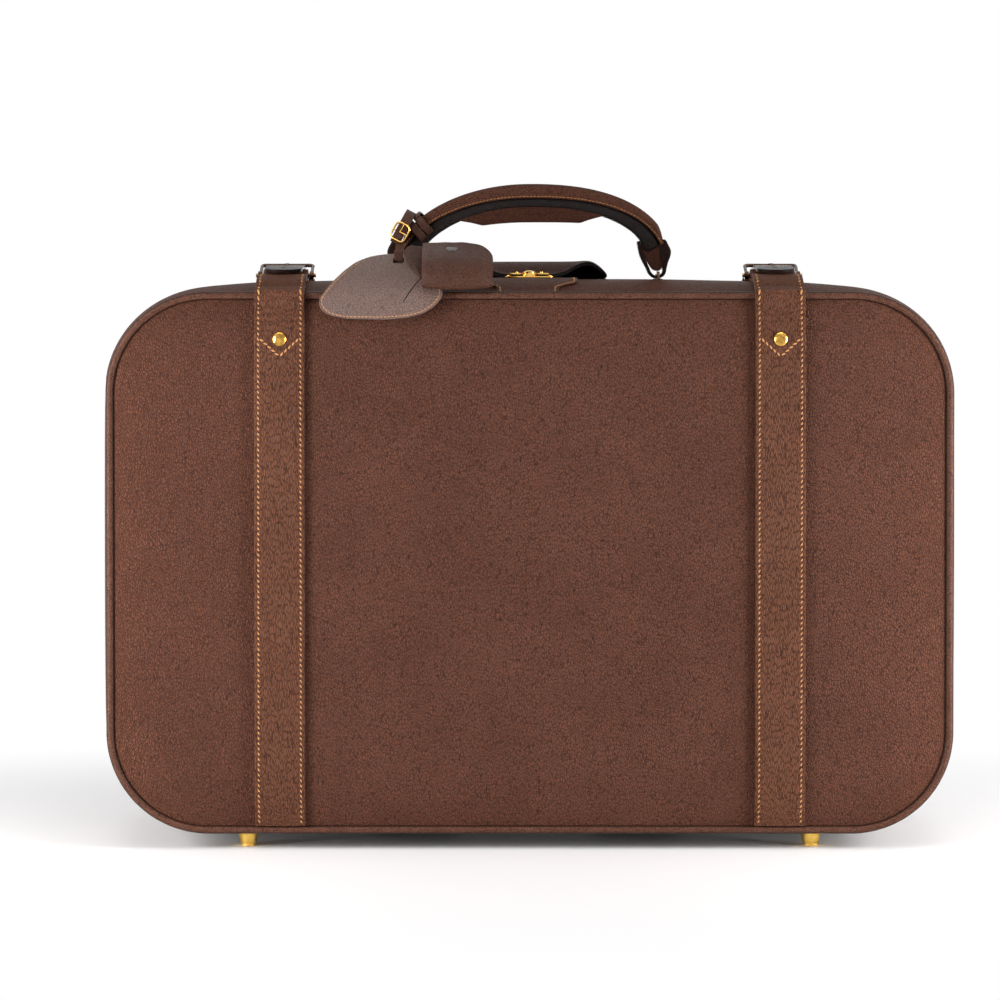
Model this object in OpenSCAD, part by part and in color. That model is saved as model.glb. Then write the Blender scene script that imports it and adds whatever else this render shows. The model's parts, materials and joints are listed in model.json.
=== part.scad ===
// A leather suitcase that stands on four brass feet. The front half carries the handle, the lock,
// the buckles and the tags. The rear half is the lid, and turns on two hinges under the case.
// X runs across the front, Y from front to rear, Z up. The origin is the middle of the footprint.

/* [Case] */
// Width of the front face between its side seams
face_w = 586; // [560:2:640]
// Height of the front face between its lower and upper seams
face_h = 371; // [340:1:420]
// Radius of the face's corners
corner_r = 66; // [64:1:80]
// Height of the lower seam above the floor
seam_low = 17; // [16:0.5:19]
// Half the depth between the front and rear faces at their seams
face_y = 82; // [80:1:100]
// How far each face swells out over its board
dome_h = 7; // [4:0.5:9]
// How far the sides swell out past the piping
side_swell = 9.1; // [6:0.1:11]
// How far the top swells up at its ends
top_swell = 6.1; // [4:0.1:8]
// How much more the top rises at its middle
top_arch = 4.5; // [2:0.1:6]
// How far the bottom swells down over the feet
low_swell = 3.1; // [2:0.1:4]
// How much more the bottom sags between the feet
low_sag = 4; // [2:0.1:4.5]
// Thickness of the leather and board round the edge
wall = 3; // [2.4:0.1:3.5]
// Diameter of the piping
piping_d = 6; // [5:0.5:7]
// Where the two halves part, behind the middle of the case
part_y = 30; // [29:0.5:32]

/* [Straps] */
// Distance of each strap from the middle
strap_x = 176; // [172:1:180]
// Width of the straps
strap_w = 32.5; // [28:0.5:34]
// Thickness of one layer of strap
strap_t = 2.8; // [2.4:0.1:3]
// Width of the billets that go through the buckles
billet_w = 27; // [22:0.5:28]
// Diameter of the domed studs on the straps
stud_d = 11; // [8:0.5:12]

/* [Handle] */
// Half the span of the handle's outer curve
handle_span = 104; // [100:1:108]
// Rise of the handle's outer curve above its lower ends
handle_rise = 66; // [62:1:70]
// Width of the handle from front to rear
handle_w = 24; // [20:1:26]

/* [Tags] */
// Middle of the luggage tag across the case
tag_x = -105; // [-107:0.5:-104]
// Left edge of the key case
key_case_x = -78; // [-80:0.5:-76]
// Width of the key case
key_case_w = 52; // [44:1:52]

/* [Feet] */
// Distance of the feet from the middle
foot_x = 200; // [198:1:202]
// Distance of the feet from the middle, front to rear
foot_y = 63; // [62:0.5:64]
// Height of the feet
foot_h = 12.7; // [12.7:0.1:13]

/* [Hidden] */

brown = [0.36, 0.24, 0.19];
dark_brown = [0.24, 0.15, 0.12];
black = [0.08, 0.07, 0.07];
gold = [0.78, 0.6, 0.3];
steel = [0.6, 0.6, 0.62];
cloth = [0.62, 0.5, 0.38];

$fn = 32;
seam_x = face_w / 2;
seam_top = seam_low + face_h;
seam_mid = seam_low + face_h / 2;
piping_r = piping_d / 2;
// Middle of the piping, front to rear, and where the edge's leather begins behind it
piping_y = face_y - 1;
edge_y = piping_y - piping_r;
// How far outside the seam the edge's leather begins
edge_step = 3.4;
// The top and bottom are flat from here back to the lid's shoulder
shoulder_front = -20;
shoulder_rear = part_y + 14;
part_gap = 0.6;
front_end = part_y - part_gap / 2;
rear_start = part_y + part_gap / 2;
panel_t = 3;
turned_in = 9;
turned_t = 1.8;
lining_t = 1.2;
lining_gap = 0.5;
lock_zone = 60;
staple_x = handle_span - 10.7;
corner_steps = 8;

// Outline of the seam: points [x, z, outward x, outward z], anticlockwise from the right side

function corner(side_x, side_z, start) = [
    for (k = [0 : corner_steps])
        let (a = start + 90 * k / corner_steps)
        [side_x * (seam_x - corner_r) + corner_r * cos(a),
         seam_mid + side_z * (face_h / 2 - corner_r) + corner_r * sin(a), cos(a), sin(a)]
];
top_breaks = [
    strap_x + strap_w / 2 + 1, strap_x - strap_w / 2 - 1, staple_x + 9, staple_x - 9, lock_zone
];
low_breaks = [foot_x + 9, foot_x - 9, 160, 130];
function backward(list) = [for (k = [len(list) - 1 : -1 : 0]) list[k]];
function both_sides(list) = concat(list, -backward(list));
seam = concat(
    corner(1, 1, 0),
    [for (x = both_sides(top_breaks)) [x, seam_top, 0, 1]],
    corner(-1, 1, 90),
    corner(-1, -1, 180),
    [for (x = both_sides(low_breaks)) [-x, seam_low, 0, -1]],
    corner(1, -1, 270)
);

// The top keeps one height under each strap, each handle staple and the lock
function flat_zone(x) =
    abs(x) <= lock_zone ? 0
    : abs(abs(x) - staple_x) <= 9.1 ? staple_x
    : abs(abs(x) - strap_x) <= strap_w / 2 + 1.1 ? strap_x : abs(x);
function arch_at(x) = top_arch * (1 - pow(min(flat_zone(x) / (seam_x - corner_r), 1), 4));
function sag_at(x) = low_sag * (1 - pow(min(max(abs(x) - 130, 0) / 60, 1), 1.6));
function swell_at(s) =
    side_swell * s[2] * s[2]
    + (s[3] > 0 ? top_swell + arch_at(s[0]) : low_swell + sag_at(s[0])) * s[3] * s[3];
function depth_share(y) =
    y < shoulder_front ? 1 - pow((shoulder_front - y) / (shoulder_front + edge_y), 2.2)
    : y > shoulder_rear ? 1 - pow((y - shoulder_rear) / (edge_y - shoulder_rear), 2.2) : 1;

// One ring of the edge at depth y, drawn in by a distance
function edge_ring(y, inset) = [
    for (s = seam)
        let (out = edge_step + swell_at(s) * depth_share(y) - inset)
        [s[0] + s[2] * out, y, s[1] + s[3] * out]
];
// One ring at a fixed distance from the seam
function seam_ring(y, out) = [for (s = seam) [s[0] + s[2] * out, y, s[1] + s[3] * out]];
function top_z(x) = seam_top + edge_step + top_swell + arch_at(x);
function top_z_at(x, y) = seam_top + edge_step + (top_swell + arch_at(x)) * depth_share(y);
bottom_z = seam_low - edge_step - low_swell - low_sag;
case_top = top_z(0);
// Points given by their height above the middle of the top
function above_top(points) = [for (p = points) [p[0], case_top + p[1]]];
// The same, at a distance behind the front seam, or in front of the rear seam
function above_front(points) = [for (p = points) [p[0] - face_y, case_top + p[1]]];
function above_rear(points) = [for (p = points) [face_y - p[0], case_top + p[1]]];

// The swell of a face at a distance in from its seam
dome_rings = [0, 4, 10, 19, 36, 60];
function dome(inset) = dome_h * (1 - pow(1 - min(inset, 60) / 60, 3.2));

// Depths at which the edge is drawn, at these distances behind each face's seam
front_stops = [for (d = [10, 22, 40]) d - face_y];
rear_stops = [for (d = [26, 16, 9]) face_y - d];
front_rings = concat([-edge_y], front_stops, [shoulder_front, front_end]);
rear_rings = concat([rear_start, shoulder_rear], rear_stops, [edge_y]);

// Solids through rings of equal count

function ring_sides(n, rings, turns) = [
    for (k = [0 : turns - 1], i = [0 : n - 1])
        [k * n + i, k * n + (i + 1) % n, ((k + 1) % rings) * n + (i + 1) % n,
         ((k + 1) % rings) * n + i]
];
// A solid with flat ends
module capped(rings) {
    n = len(rings[0]);
    r = len(rings);
    polyhedron(
        [for (ring = rings) each ring],
        concat(ring_sides(n, r, r - 1),
            [[for (i = [n - 1 : -1 : 0]) i]],
            [[for (i = [0 : n - 1]) (r - 1) * n + i]])
    );
}
// A solid whose last ring joins its first
module closed_loop(rings) {
    n = len(rings[0]);
    r = len(rings);
    polyhedron([for (ring = rings) each ring], ring_sides(n, r, r));
}
// A sheet between two grids of points, each a list of rows
module sheet(low, high) {
    m = len(low);
    n = len(low[0]);
    rim = concat(
        [for (j = [0 : n - 1]) j],
        [for (i = [1 : m - 1]) i * n + n - 1],
        [for (j = [n - 2 : -1 : 0]) (m - 1) * n + j],
        [for (i = [m - 2 : -1 : 1]) i * n]
    );
    cells = [for (i = [0 : m - 2], j = [0 : n - 2]) [i * n + j, i * n + j + 1, (i + 1) * n + j + 1,
        (i + 1) * n + j]];
    tris = [for (c = cells) each [[c[0], c[1], c[2]], [c[0], c[2], c[3]]]];
    polyhedron(
        concat([for (row = low) each row], [for (row = high) each row]),
        concat(
            [for (t = tris) [t[2], t[1], t[0]]],
            [for (t = tris) [t[0] + m * n, t[1] + m * n, t[2] + m * n]],
            [for (k = [0 : len(rim) - 1])
                let (a = rim[k], b = rim[(k + 1) % len(rim)]) [a, b, b + m * n, a + m * n]]
        )
    );
}
// The points of a path moved square to it, to its left
function path_direction(path, k) =
    let (v = path[min(k + 1, len(path) - 1)] - path[max(k - 1, 0)]) v / norm(v);
function beside(path, out) = [
    for (k = [0 : len(path) - 1])
        let (v = path_direction(path, k)) path[k] + [-v[1], v[0]] * out
];
// A drawing in X and Z, made solid from one depth to another
module deep(y0, y1) {
    translate([0, y1, 0])
        rotate([90, 0, 0])
            linear_extrude(y1 - y0)
                children();
}
// A drawing in Y and Z, made solid across the case
module across(middle, width) {
    translate([middle - width / 2, 0, 0])
        rotate([90, 0, 90])
            linear_extrude(width)
                children();
}
module round_bar(start, end, r) {
    v = end - start;
    length = norm(v);
    translate(start)
        rotate([0, acos(v[2] / length), atan2(v[1], v[0])])
            cylinder(length, r = r);
}

// Faces, edges and piping

module panel(side) {
    front = [for (k = [len(dome_rings) - 1 : -1 : 0])
        seam_ring(-face_y - dome(dome_rings[k]), -dome_rings[k])];
    back = [for (d = dome_rings) seam_ring(-face_y - dome(d) + panel_t, -d)];
    mirror([0, side > 0 ? 1 : 0, 0])
        capped(concat(front, back));
}
module front_panel() {
    color(brown) panel(-1);
}
module rear_panel() {
    color(brown) panel(1);
}

foot_r = 8.5;
screw_r = 2;
module foot_cuts(side) {
    for (x = [-foot_x, foot_x])
        translate([x, side * foot_y, 0]) {
            cylinder(foot_h, r = foot_r + 0.1);
            cylinder(2 * foot_h, r = screw_r);
        }
}
lock_y = -12;
button_shank_r = 3;
// The hole for the button's shank through everything near the top
module button_hole() {
    translate([0, lock_y, case_top - 8])
        cylinder(14, r = button_shank_r + 0.5);
}
module front_gusset() {
    outer = [for (y = front_rings) edge_ring(y, 0)];
    inner = [for (k = [len(front_rings) - 1 : -1 : 1]) edge_ring(front_rings[k], wall)];
    turned = [edge_ring(-edge_y + turned_t, wall), seam_ring(-edge_y + turned_t, -turned_in),
        seam_ring(-edge_y, -turned_in)];
    color(brown)
        difference() {
            closed_loop(concat(outer, inner, turned));
            foot_cuts(-1);
            button_hole();
        }
}
module rear_gusset() {
    outer = [for (k = [len(rear_rings) - 1 : -1 : 0]) edge_ring(rear_rings[k], 0)];
    inner = [for (k = [0 : len(rear_rings) - 2]) edge_ring(rear_rings[k], wall)];
    turned = [edge_ring(edge_y - turned_t, wall), seam_ring(edge_y - turned_t, -turned_in),
        seam_ring(edge_y, -turned_in)];
    color(brown)
        mirror([1, 0, 0])
            difference() {
                closed_loop(mirrored_rings(concat(outer, inner, turned)));
                foot_cuts(1);
            }
}
function mirrored_rings(rings) = [for (ring = rings) [for (p = ring) [-p[0], p[1], p[2]]]];

module quarter_piping(side_x, side_z) {
    translate([side_x * (seam_x - corner_r), 0, seam_mid + side_z * (face_h / 2 - corner_r)])
        mirror([side_x < 0 ? 1 : 0, 0, 0])
            mirror([0, 0, side_z < 0 ? 1 : 0])
                rotate([90, 0, 0])
                    rotate_extrude(angle = 90)
                        translate([corner_r + piping_r, 0])
                            circle(piping_r);
}
module piping_cord() {
    out = seam_x + piping_r;
    straight_x = seam_x - corner_r;
    low_corner = seam_low + corner_r;
    high_corner = seam_top - corner_r;
    for (sx = [-1, 1], sz = [-1, 1])
        quarter_piping(sx, sz);
    for (sx = [-1, 1])
        translate([sx * out, 0, low_corner])
            cylinder(high_corner - low_corner, r = piping_r);
    for (z = [seam_low - piping_r, seam_top + piping_r])
        translate([-straight_x, 0, z])
            rotate([0, 90, 0])
                cylinder(2 * straight_x, r = piping_r);
}
module welt() {
    deep(-face_y + panel_t, -edge_y)
        difference() {
            polygon([for (s = seam) [s[0] + s[2], s[1] + s[3]]]);
            polygon([for (s = seam) [s[0] - s[2] * turned_in, s[1] - s[3] * turned_in]]);
        }
}
module piping(side) {
    mirror([0, side > 0 ? 1 : 0, 0])
        union() {
            translate([0, -piping_y, 0])
                piping_cord();
            welt();
        }
}
module front_piping() {
    color(brown) piping(-1);
}
module rear_piping() {
    color(brown) piping(1);
}

// Rim frames: the front one has a tongue that goes inside the rear one

frame_t = 3.6;
tongue_t = 1.6;
tongue_reach = 4.8;
tongue_gap = 0.5;
module rim_outline(inset) {
    polygon([for (p = edge_ring(part_y, wall + inset)) [p[0], p[2]]]);
}
module rim_band(y0, y1, outer, inner) {
    deep(y0, y1)
        difference() {
            rim_outline(outer);
            rim_outline(inner);
        }
}
module front_rim_frame() {
    color(gold) {
        rim_band(part_y - 14, front_end, 0, frame_t);
        rim_band(front_end, part_y + tongue_reach, frame_t - tongue_t, frame_t);
    }
}
module rear_rim_frame() {
    color(gold)
        difference() {
            rim_band(rear_start, shoulder_rear, 0, frame_t);
            rim_band(rear_start - 1, part_y + tongue_reach + tongue_gap,
                frame_t - tongue_t - tongue_gap, frame_t + 1);
        }
}

// Linings: a tray of board and cloth in each half

module front_lining() {
    stops = concat(front_stops, [shoulder_front, part_y - 14.1]);
    outer = [for (y = stops) edge_ring(y, wall + lining_gap)];
    inner = [for (y = backward(stops)) edge_ring(y, wall + lining_gap + lining_t)];
    back = -edge_y + turned_t + 0.1;
    color(cloth)
        difference() {
            capped(concat([edge_ring(back, wall + lining_gap)], outer, inner,
                [edge_ring(back + lining_t, wall + lining_gap + lining_t)]));
            foot_cuts(-1);
            button_hole();
        }
}
module rear_lining() {
    stops = concat(backward(rear_stops), [shoulder_rear + 0.1]);
    outer = [for (y = stops) edge_ring(y, wall + lining_gap)];
    inner = [for (y = backward(stops)) edge_ring(y, wall + lining_gap + lining_t)];
    back = edge_y - turned_t - 0.1;
    color(cloth)
        mirror([1, 0, 0])
            difference() {
                capped(mirrored_rings(concat([edge_ring(back, wall + lining_gap)], outer, inner,
                    [edge_ring(back - lining_t, wall + lining_gap + lining_t)])));
                foot_cuts(1);
            }
}

// Straps with buckles

bar_r = 1.5;
bar_y = -5;
prong_eye_r = bar_r + 1.35;
prong_slot = 6;
loop_r = bar_r + 0.2;
bar_z = top_z(strap_x) + loop_r + strap_t;
fold_y = 36 - face_y;
wrap_r = piping_r + 0.3;
piping_top = seam_top + piping_r;
function strap_top(y) = top_z_at(strap_x, y);
function around_piping(r) = [
    for (a = [180 : -15 : 90]) [-piping_y + r * cos(a), piping_top + r * sin(a)]
];
face_path = concat(
    [for (d = dome_rings) [-face_y - dome(d), seam_low + d]],
    [for (d = [60, 36, 19, 10]) [-face_y - dome(d), seam_top - d]]
);
module face_and_edge(top_end) {
    low = concat(face_path, around_piping(wrap_r), top_end);
    high = concat(
        [for (p = face_path) [p[0] - strap_t, p[1]]],
        around_piping(wrap_r + strap_t),
        [for (p = top_end) [p[0], p[1] + strap_t]]
    );
    polygon(concat(low, backward(high)));
}
module front_strap(x) {
    top_end = [for (y = [front_stops[1], front_stops[2], shoulder_front, bar_y]) [y, strap_top(y)]];
    flat_top = strap_top(0) + 2 * strap_t;
    turn_back = [
        [fold_y - 9, strap_top(fold_y - 9) + strap_t / 2], [fold_y, strap_top(fold_y) + 2 * strap_t],
        [shoulder_front, flat_top], [-14, flat_top + 0.4], [bar_y - 2, bar_z + loop_r + strap_t - 0.6],
        [bar_y, bar_z], [shoulder_front, strap_top(0) + strap_t / 2]
    ];
    difference() {
        union() {
            across(x, strap_w)
                face_and_edge(top_end);
            across(x, strap_w)
                polygon(turn_back);
            across(x, strap_w)
                translate([bar_y, bar_z])
                    circle(loop_r + strap_t);
        }
        translate([x - strap_w / 2 - 1, bar_y, bar_z])
            rotate([0, 90, 0])
                cylinder(strap_w + 2, r = loop_r);
        translate([x - prong_slot / 2, bar_y - 13.5, bar_z - prong_eye_r - 0.4])
            cube([prong_slot, 19.5, 20]);
    }
}
module front_strap_left() {
    color(brown) front_strap(-strap_x);
}
module front_strap_right() {
    color(brown) front_strap(strap_x);
}
module rear_strap(x) {
    top_end = [for (d = [16, 26, 34]) [d - face_y, strap_top(face_y - d)]];
    mirror([0, 1, 0])
        across(x, strap_w)
            face_and_edge(top_end);
}
module rear_strap_left() {
    color(brown) rear_strap(-strap_x);
}
module rear_strap_right() {
    color(brown) rear_strap(strap_x);
}

// The studs sit halfway between two rings of the face's dome
stud_rings = [dome_rings[3], dome_rings[4]];
stud_z = seam_top - (stud_rings[0] + stud_rings[1]) / 2;
stud_slope = atan((dome(stud_rings[1]) - dome(stud_rings[0])) / (stud_rings[1] - stud_rings[0]));
module strap_studs() {
    y = -face_y - (dome(stud_rings[0]) + dome(stud_rings[1])) / 2 - strap_t;
    for (x = [-strap_x, strap_x])
        color(gold)
            translate([x, y, stud_z])
                rotate([90 - stud_slope, 0, 0])
                    rotate_extrude()
                        intersection() {
                            translate([0, -stud_d * 0.55])
                                circle(stud_d * 0.78, $fn = 64);
                            square([stud_d / 2, stud_d]);
                        }
}

module buckle_bars() {
    half = bar_half + knob_r;
    for (x = [-strap_x, strap_x])
        color(gold)
            translate([x, bar_y, bar_z])
                rotate([0, 90, 0])
                    rotate_extrude()
                        intersection() {
                            union() {
                                translate([0, -bar_half])
                                    square([bar_r, 2 * bar_half]);
                                for (end = [-1, 1])
                                    translate([0, end * bar_half])
                                        circle(knob_r);
                            }
                            translate([0, -half])
                                square([knob_r, 2 * half]);
                        }
}
bar_half = 23.4;
knob_r = 2.4;
frame_wire_r = 1.35;
frame_half = 18.6;
far_y = 17;
far_z = case_top + 10;
frame_bend_r = 3;
frame_reach = norm([far_y - bar_y, far_z - bar_z]);
frame_lift = atan2(far_z - bar_z, far_y - bar_y);
// One half of the frame's wire, lying flat: an eye for the bar, a leg, a bend and half the far bar
module half_frame() {
    rotate([0, 90, 0])
        translate([0, 0, frame_half])
            cylinder(2 * frame_wire_r + 0.5, r = bar_r + 1.5, center = true);
    translate([frame_half, 2.4, 0])
        rotate([-90, 0, 0])
            cylinder(frame_reach - frame_bend_r - 2.4, r = frame_wire_r);
    translate([frame_half - frame_bend_r, frame_reach - frame_bend_r, 0])
        rotate_extrude(angle = 90)
            translate([frame_bend_r, 0])
                circle(frame_wire_r);
    translate([0, frame_reach, 0])
        rotate([0, 90, 0])
            cylinder(frame_half - frame_bend_r, r = frame_wire_r);
}
module buckle_frame(x) {
    translate([x, bar_y, bar_z])
        rotate([frame_lift, 0, 0])
            difference() {
                union() {
                    half_frame();
                    mirror([1, 0, 0])
                        half_frame();
                }
                rotate([0, 90, 0])
                    cylinder(3 * frame_half, r = bar_r + 0.15, center = true);
            }
}
module buckle_frame_left() {
    color(gold) buckle_frame(-strap_x);
}
module buckle_frame_right() {
    color(gold) buckle_frame(strap_x);
}
module buckle_prong(x) {
    prong_r = 1.2;
    knee = [0, 6.2, case_top + 11.9 - bar_z];
    tip = [0, far_y - bar_y + 2, far_z + frame_wire_r + prong_r + 0.2 - bar_z];
    translate([x, bar_y, bar_z])
        difference() {
            union() {
                rotate([0, 90, 0])
                    cylinder(3.2, r = prong_eye_r, center = true);
                round_bar([0, 1.2, 1.7], knee, prong_r);
                translate(knee)
                    sphere(prong_r);
                round_bar(knee, tip, prong_r);
                translate(tip)
                    sphere(prong_r);
            }
            rotate([0, 90, 0])
                cylinder(8, r = bar_r + 0.15, center = true);
        }
}
module buckle_prong_left() {
    color(gold) buckle_prong(-strap_x);
}
module buckle_prong_right() {
    color(gold) buckle_prong(strap_x);
}

// Billets: from the rear strap, under the buckle's far bar and over its heel bar
billet_t = 2.6;
tip_drop = 4;
billet_path = concat(
    above_rear([[10, -3], [16, -1.6], [26, 0.9], [34, 1.9], [44, 2.6]]),
    above_top([[part_y, 3.7], [far_y, 5.5], [8, 7.1], [bar_y, 7.95], [-20, 8], [-33, 6.7],
        [-42, 4.9], [-49, 2.9]])
);
billet_holes = [-37, -19, 35];
billet_hole_r = 1.9;
billet_slot = 3.4;
module billet(x) {
    tip = billet_path[len(billet_path) - 1];
    difference() {
        union() {
            across(x, billet_w)
                polygon(concat(billet_path, [for (p = backward(billet_path)) p + [0, billet_t]]));
            intersection() {
                translate([x, tip[0], tip[1] - 8])
                    cylinder(20, r = billet_w / 2);
                across(x, billet_w)
                    polygon([tip, tip + [0, billet_t], tip + [-16, billet_t - tip_drop],
                        tip - [16, tip_drop]]);
            }
        }
        for (y = billet_holes)
            translate([x, y, case_top - 7])
                cylinder(25, r = billet_hole_r);
        translate([x - billet_slot / 2, bar_y + 0.8, case_top - 2])
            cube([billet_slot, 8.2, 20]);
    }
}
module billet_left() {
    color(dark_brown) billet(-strap_x);
}
module billet_right() {
    color(dark_brown) billet(strap_x);
}

// Lock

patch_w = 41;
patch_t = 1.2;
plate_t = 1.2;
lock_top = top_z(0) + patch_t + plate_t;
plate_half = 17;
button_r = 4.6;
collar_r = 5.6;
collar_h = 1.8;
module lock_patch() {
    low = [for (y = concat(front_stops, [shoulder_front, -3.4])) [y, top_z_at(0, y)]];
    start = [[4.5 - face_y, piping_top + 1.2]];
    path = concat(start, low);
    color(brown)
        difference() {
            across(0, patch_w)
                polygon(concat(path, [for (p = backward(path)) p + [0, patch_t]]));
            button_hole();
        }
}
module lock_plate() {
    plate_z = top_z(0) + patch_t;
    color(gold)
        difference() {
            union() {
                translate([-plate_half, lock_y - 8, plate_z])
                    cube([2 * plate_half, 16.4, plate_t]);
                for (end = [-1, 1])
                    translate([end * plate_half, lock_y + 0.5, plate_z]) {
                        cylinder(plate_t, r = 3.2);
                        translate([0, 0, plate_t])
                            cylinder(0.7, r = 1.9);
                    }
                translate([0, lock_y, plate_z])
                    cylinder(plate_t + collar_h, r = collar_r);
            }
            translate([0, lock_y, plate_z - 1])
                cylinder(10, r = button_shank_r + 0.2);
            translate([0, lock_y, lock_top])
                cylinder(10, r = button_r + 0.2);
        }
}
button_travel = 1.4;
button_base = lock_top + button_travel + 0.2;
module lock_button() {
    color(gold)
        translate([0, lock_y, 0]) {
            translate([0, 0, shank_end])
                cylinder(button_base - shank_end, r = button_shank_r);
            translate([0, 0, button_base])
                rotate_extrude()
                    intersection() {
                        translate([0, -5.2])
                            circle(7.8, $fn = 64);
                        square([button_r, 6]);
                    }
        }
}
lock_case_top = case_top - wall - lining_gap - lining_t - 0.05;
lock_case_w = 48;
lock_case_h = 20;
shank_end = lock_case_top - 9;
module lock_case() {
    low = lock_case_top - lock_case_h;
    color(steel)
        difference() {
            translate([-lock_case_w / 2, lock_y - 7.5, low])
                cube([lock_case_w, 19, lock_case_h]);
            translate([1.5 - lock_case_w / 2, lock_y - 6, low + 1.5])
                cube([lock_case_w - 3, 16, lock_case_h - 3]);
            translate([0, lock_y, low + 5])
                cylinder(lock_case_h, r = button_shank_r + 0.2);
        }
}
module lock_spring() {
    low = lock_case_top - lock_case_h + 1.5;
    color(steel)
        translate([0, lock_y, low])
            difference() {
                cylinder(shank_end - low, r = 2.8);
                translate([0, 0, -1])
                    cylinder(20, r = 1.8);
            }
}

// Flap: sewn to the lid, comes forward under the handle, bowed up, with its wings curled
flap_rear = shoulder_rear + 10;
// Behind this depth the flap lies flat on the lid, to which it is sewn
flap_sewn = shoulder_rear + 2;
flap_rows = 12;
flap_cols = [-57, -51, -45, -38, -30, -21, 0, 21, 30, 38, 45, 51, 57];
flap_clear = 0.6;
flap_lining_t = 0.8;
flap_leather_t = 2;
function flap_front(x) = abs(x) <= 21 ? -3 : abs(x) <= 30 ? -3 + (abs(x) - 21) : 6 + (abs(x) - 30) / 9;
function bow(y) = let (t = (flap_sewn - y) / 44) t <= 0 || t >= 1 ? 0 : 9.6 * pow(sin(180 * t), 0.8);
function side_share(x) = abs(x) < 45 ? 1 : max(0, cos((abs(x) - 45) * 7.2));
function wing_lift(x) = 6 * exp(-pow((abs(x) - 42) / 9, 2));
function flap_z(x, y) =
    let (front = max(0, (26 - y) / (26 - flap_front(x))))
    top_z_at(0, y) + min(max(flap_sewn - y, 0), flap_clear) + bow(y) * side_share(x)
    + wing_lift(x) * pow(front, 1.6);
function flap_grid(lift) = [
    for (x = flap_cols) [
        for (k = [0 : flap_rows])
            let (y = flap_rear + (flap_front(x) - flap_rear) * k / flap_rows)
            [x, y, flap_z(x, y) + lift]
    ]
];
module flap_leather() {
    color(brown)
        sheet(flap_grid(flap_lining_t), flap_grid(flap_lining_t + flap_leather_t));
}
module flap_lining() {
    color(black)
        sheet(flap_grid(0), flap_grid(flap_lining_t));
}
flap_plate_z = top_z(0) + flap_clear + flap_lining_t + flap_leather_t + 0.06;
flap_plate_w = 28;
module flap_plate() {
    color(gold)
        difference() {
            translate([-flap_plate_w / 2, lock_y - 9, flap_plate_z])
                cube([flap_plate_w, 20.5, plate_t]);
            translate([0, lock_y, flap_plate_z - 1])
                cylinder(4, r = collar_r + 0.6);
            translate([-collar_r - 0.6, lock_y - 12, flap_plate_z - 1])
                cube([2 * collar_r + 1.2, 12, 4]);
        }
}
module flap_rivets() {
    color(gold)
        for (x = [-9, 9])
            translate([x, lock_y + 10.2, flap_plate_z + plate_t])
                cylinder(0.8, r = 1.2);
}

// Hinges

hinge_x = 80;
hinge_len = 60;
barrel_r = 2;
hinge_pin_r = 1;
hinge_z = bottom_z - barrel_r - 0.1;
leaf_t = 1;
knuckles = 5;
knuckle_len = hinge_len / knuckles;
// One leaf toward the front, with every other knuckle
module hinge_leaf(first) {
    for (side = [-1, 1])
        translate([side * hinge_x - hinge_len / 2, part_y, 0])
            difference() {
                union() {
                    translate([0, -13, bottom_z - leaf_t])
                        cube([hinge_len, 10.5, leaf_t]);
                    for (k = [first : 2 : knuckles - 1]) {
                        translate([k * knuckle_len + 0.15, -3, bottom_z - leaf_t])
                            cube([knuckle_len - 0.3, 3, leaf_t - 0.1]);
                        translate([k * knuckle_len + 0.15, 0, hinge_z])
                            rotate([0, 90, 0])
                                cylinder(knuckle_len - 0.3, r = barrel_r);
                    }
                }
                translate([-1, 0, hinge_z])
                    rotate([0, 90, 0])
                        cylinder(hinge_len + 2, r = hinge_pin_r + 0.1);
            }
}
module front_hinge_leaves() {
    color(gold) hinge_leaf(0);
}
module rear_hinge_leaves() {
    color(gold)
        translate([0, 2 * part_y, 0])
            mirror([0, 1, 0])
                hinge_leaf(1);
}
module hinge_pins() {
    color(steel)
        for (side = [-1, 1])
            translate([side * hinge_x, part_y, hinge_z])
                rotate([0, 90, 0])
                    cylinder(hinge_len + 1, r = hinge_pin_r, center = true);
}

// Feet

module foot() {
    rotate_extrude()
        polygon([
            [0, 0], [4.6, 0], [5.2, 0.6], [5.2, 2], [5.8, 2.4], [6.6, 6], [7.6, 9.8],
            [foot_r, 10.8], [foot_r, foot_h], [0, foot_h]
        ]);
}
module feet(side) {
    for (x = [-foot_x, foot_x])
        translate([x, side * foot_y, 0])
            foot();
}
module front_feet() {
    color(gold) feet(-1);
}
module rear_feet() {
    color(gold) feet(1);
}
module foot_screws(side, length) {
    for (x = [-foot_x, foot_x])
        translate([x, side * foot_y, foot_h]) {
            cylinder(length, r = screw_r);
            translate([0, 0, length])
                cylinder(1.5, r = 4.5);
        }
}
module front_foot_screws() {
    color(steel) foot_screws(-1, 4.6);
}
module rear_foot_screws() {
    color(steel) foot_screws(1, 4.4);
}

// Handle

handle_base = case_top + 3;
grip_t = 15;
grip_drop = 12;
function arch_point(a, b, t) = [a * cos(t), handle_base + b * sin(t)];
// Every arc has its points at the same angles, so that the layers meet face to face
function arc_points(a, b, start) = [
    for (t = [start : arc_step : 180 - start]) arch_point(a, b, t)
];
inner_a = handle_span - grip_t;
inner_b = handle_rise - grip_drop;
leg_angle = 22;
arc_step = 4;
module handle_grip() {
    color(brown)
        deep(-handle_w / 2, handle_w / 2)
            polygon(concat(
                arc_points(handle_span, handle_rise, leg_angle),
                backward(arc_points(inner_a, inner_b, leg_angle))
            ));
}
core_angle = leg_angle + 7 * arc_step;
core_narrow = 4;
core_t = 6;
module handle_core() {
    color(black)
        deep(-handle_w / 2 + 0.8, handle_w / 2 - 0.8)
            polygon(concat(
                arc_points(inner_a, inner_b, core_angle),
                backward(arc_points(inner_a - core_narrow, inner_b - core_t, core_angle))
            ));
}
pad_bottom = case_top + 40;
pad_angle = leg_angle + 8 * arc_step;
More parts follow.
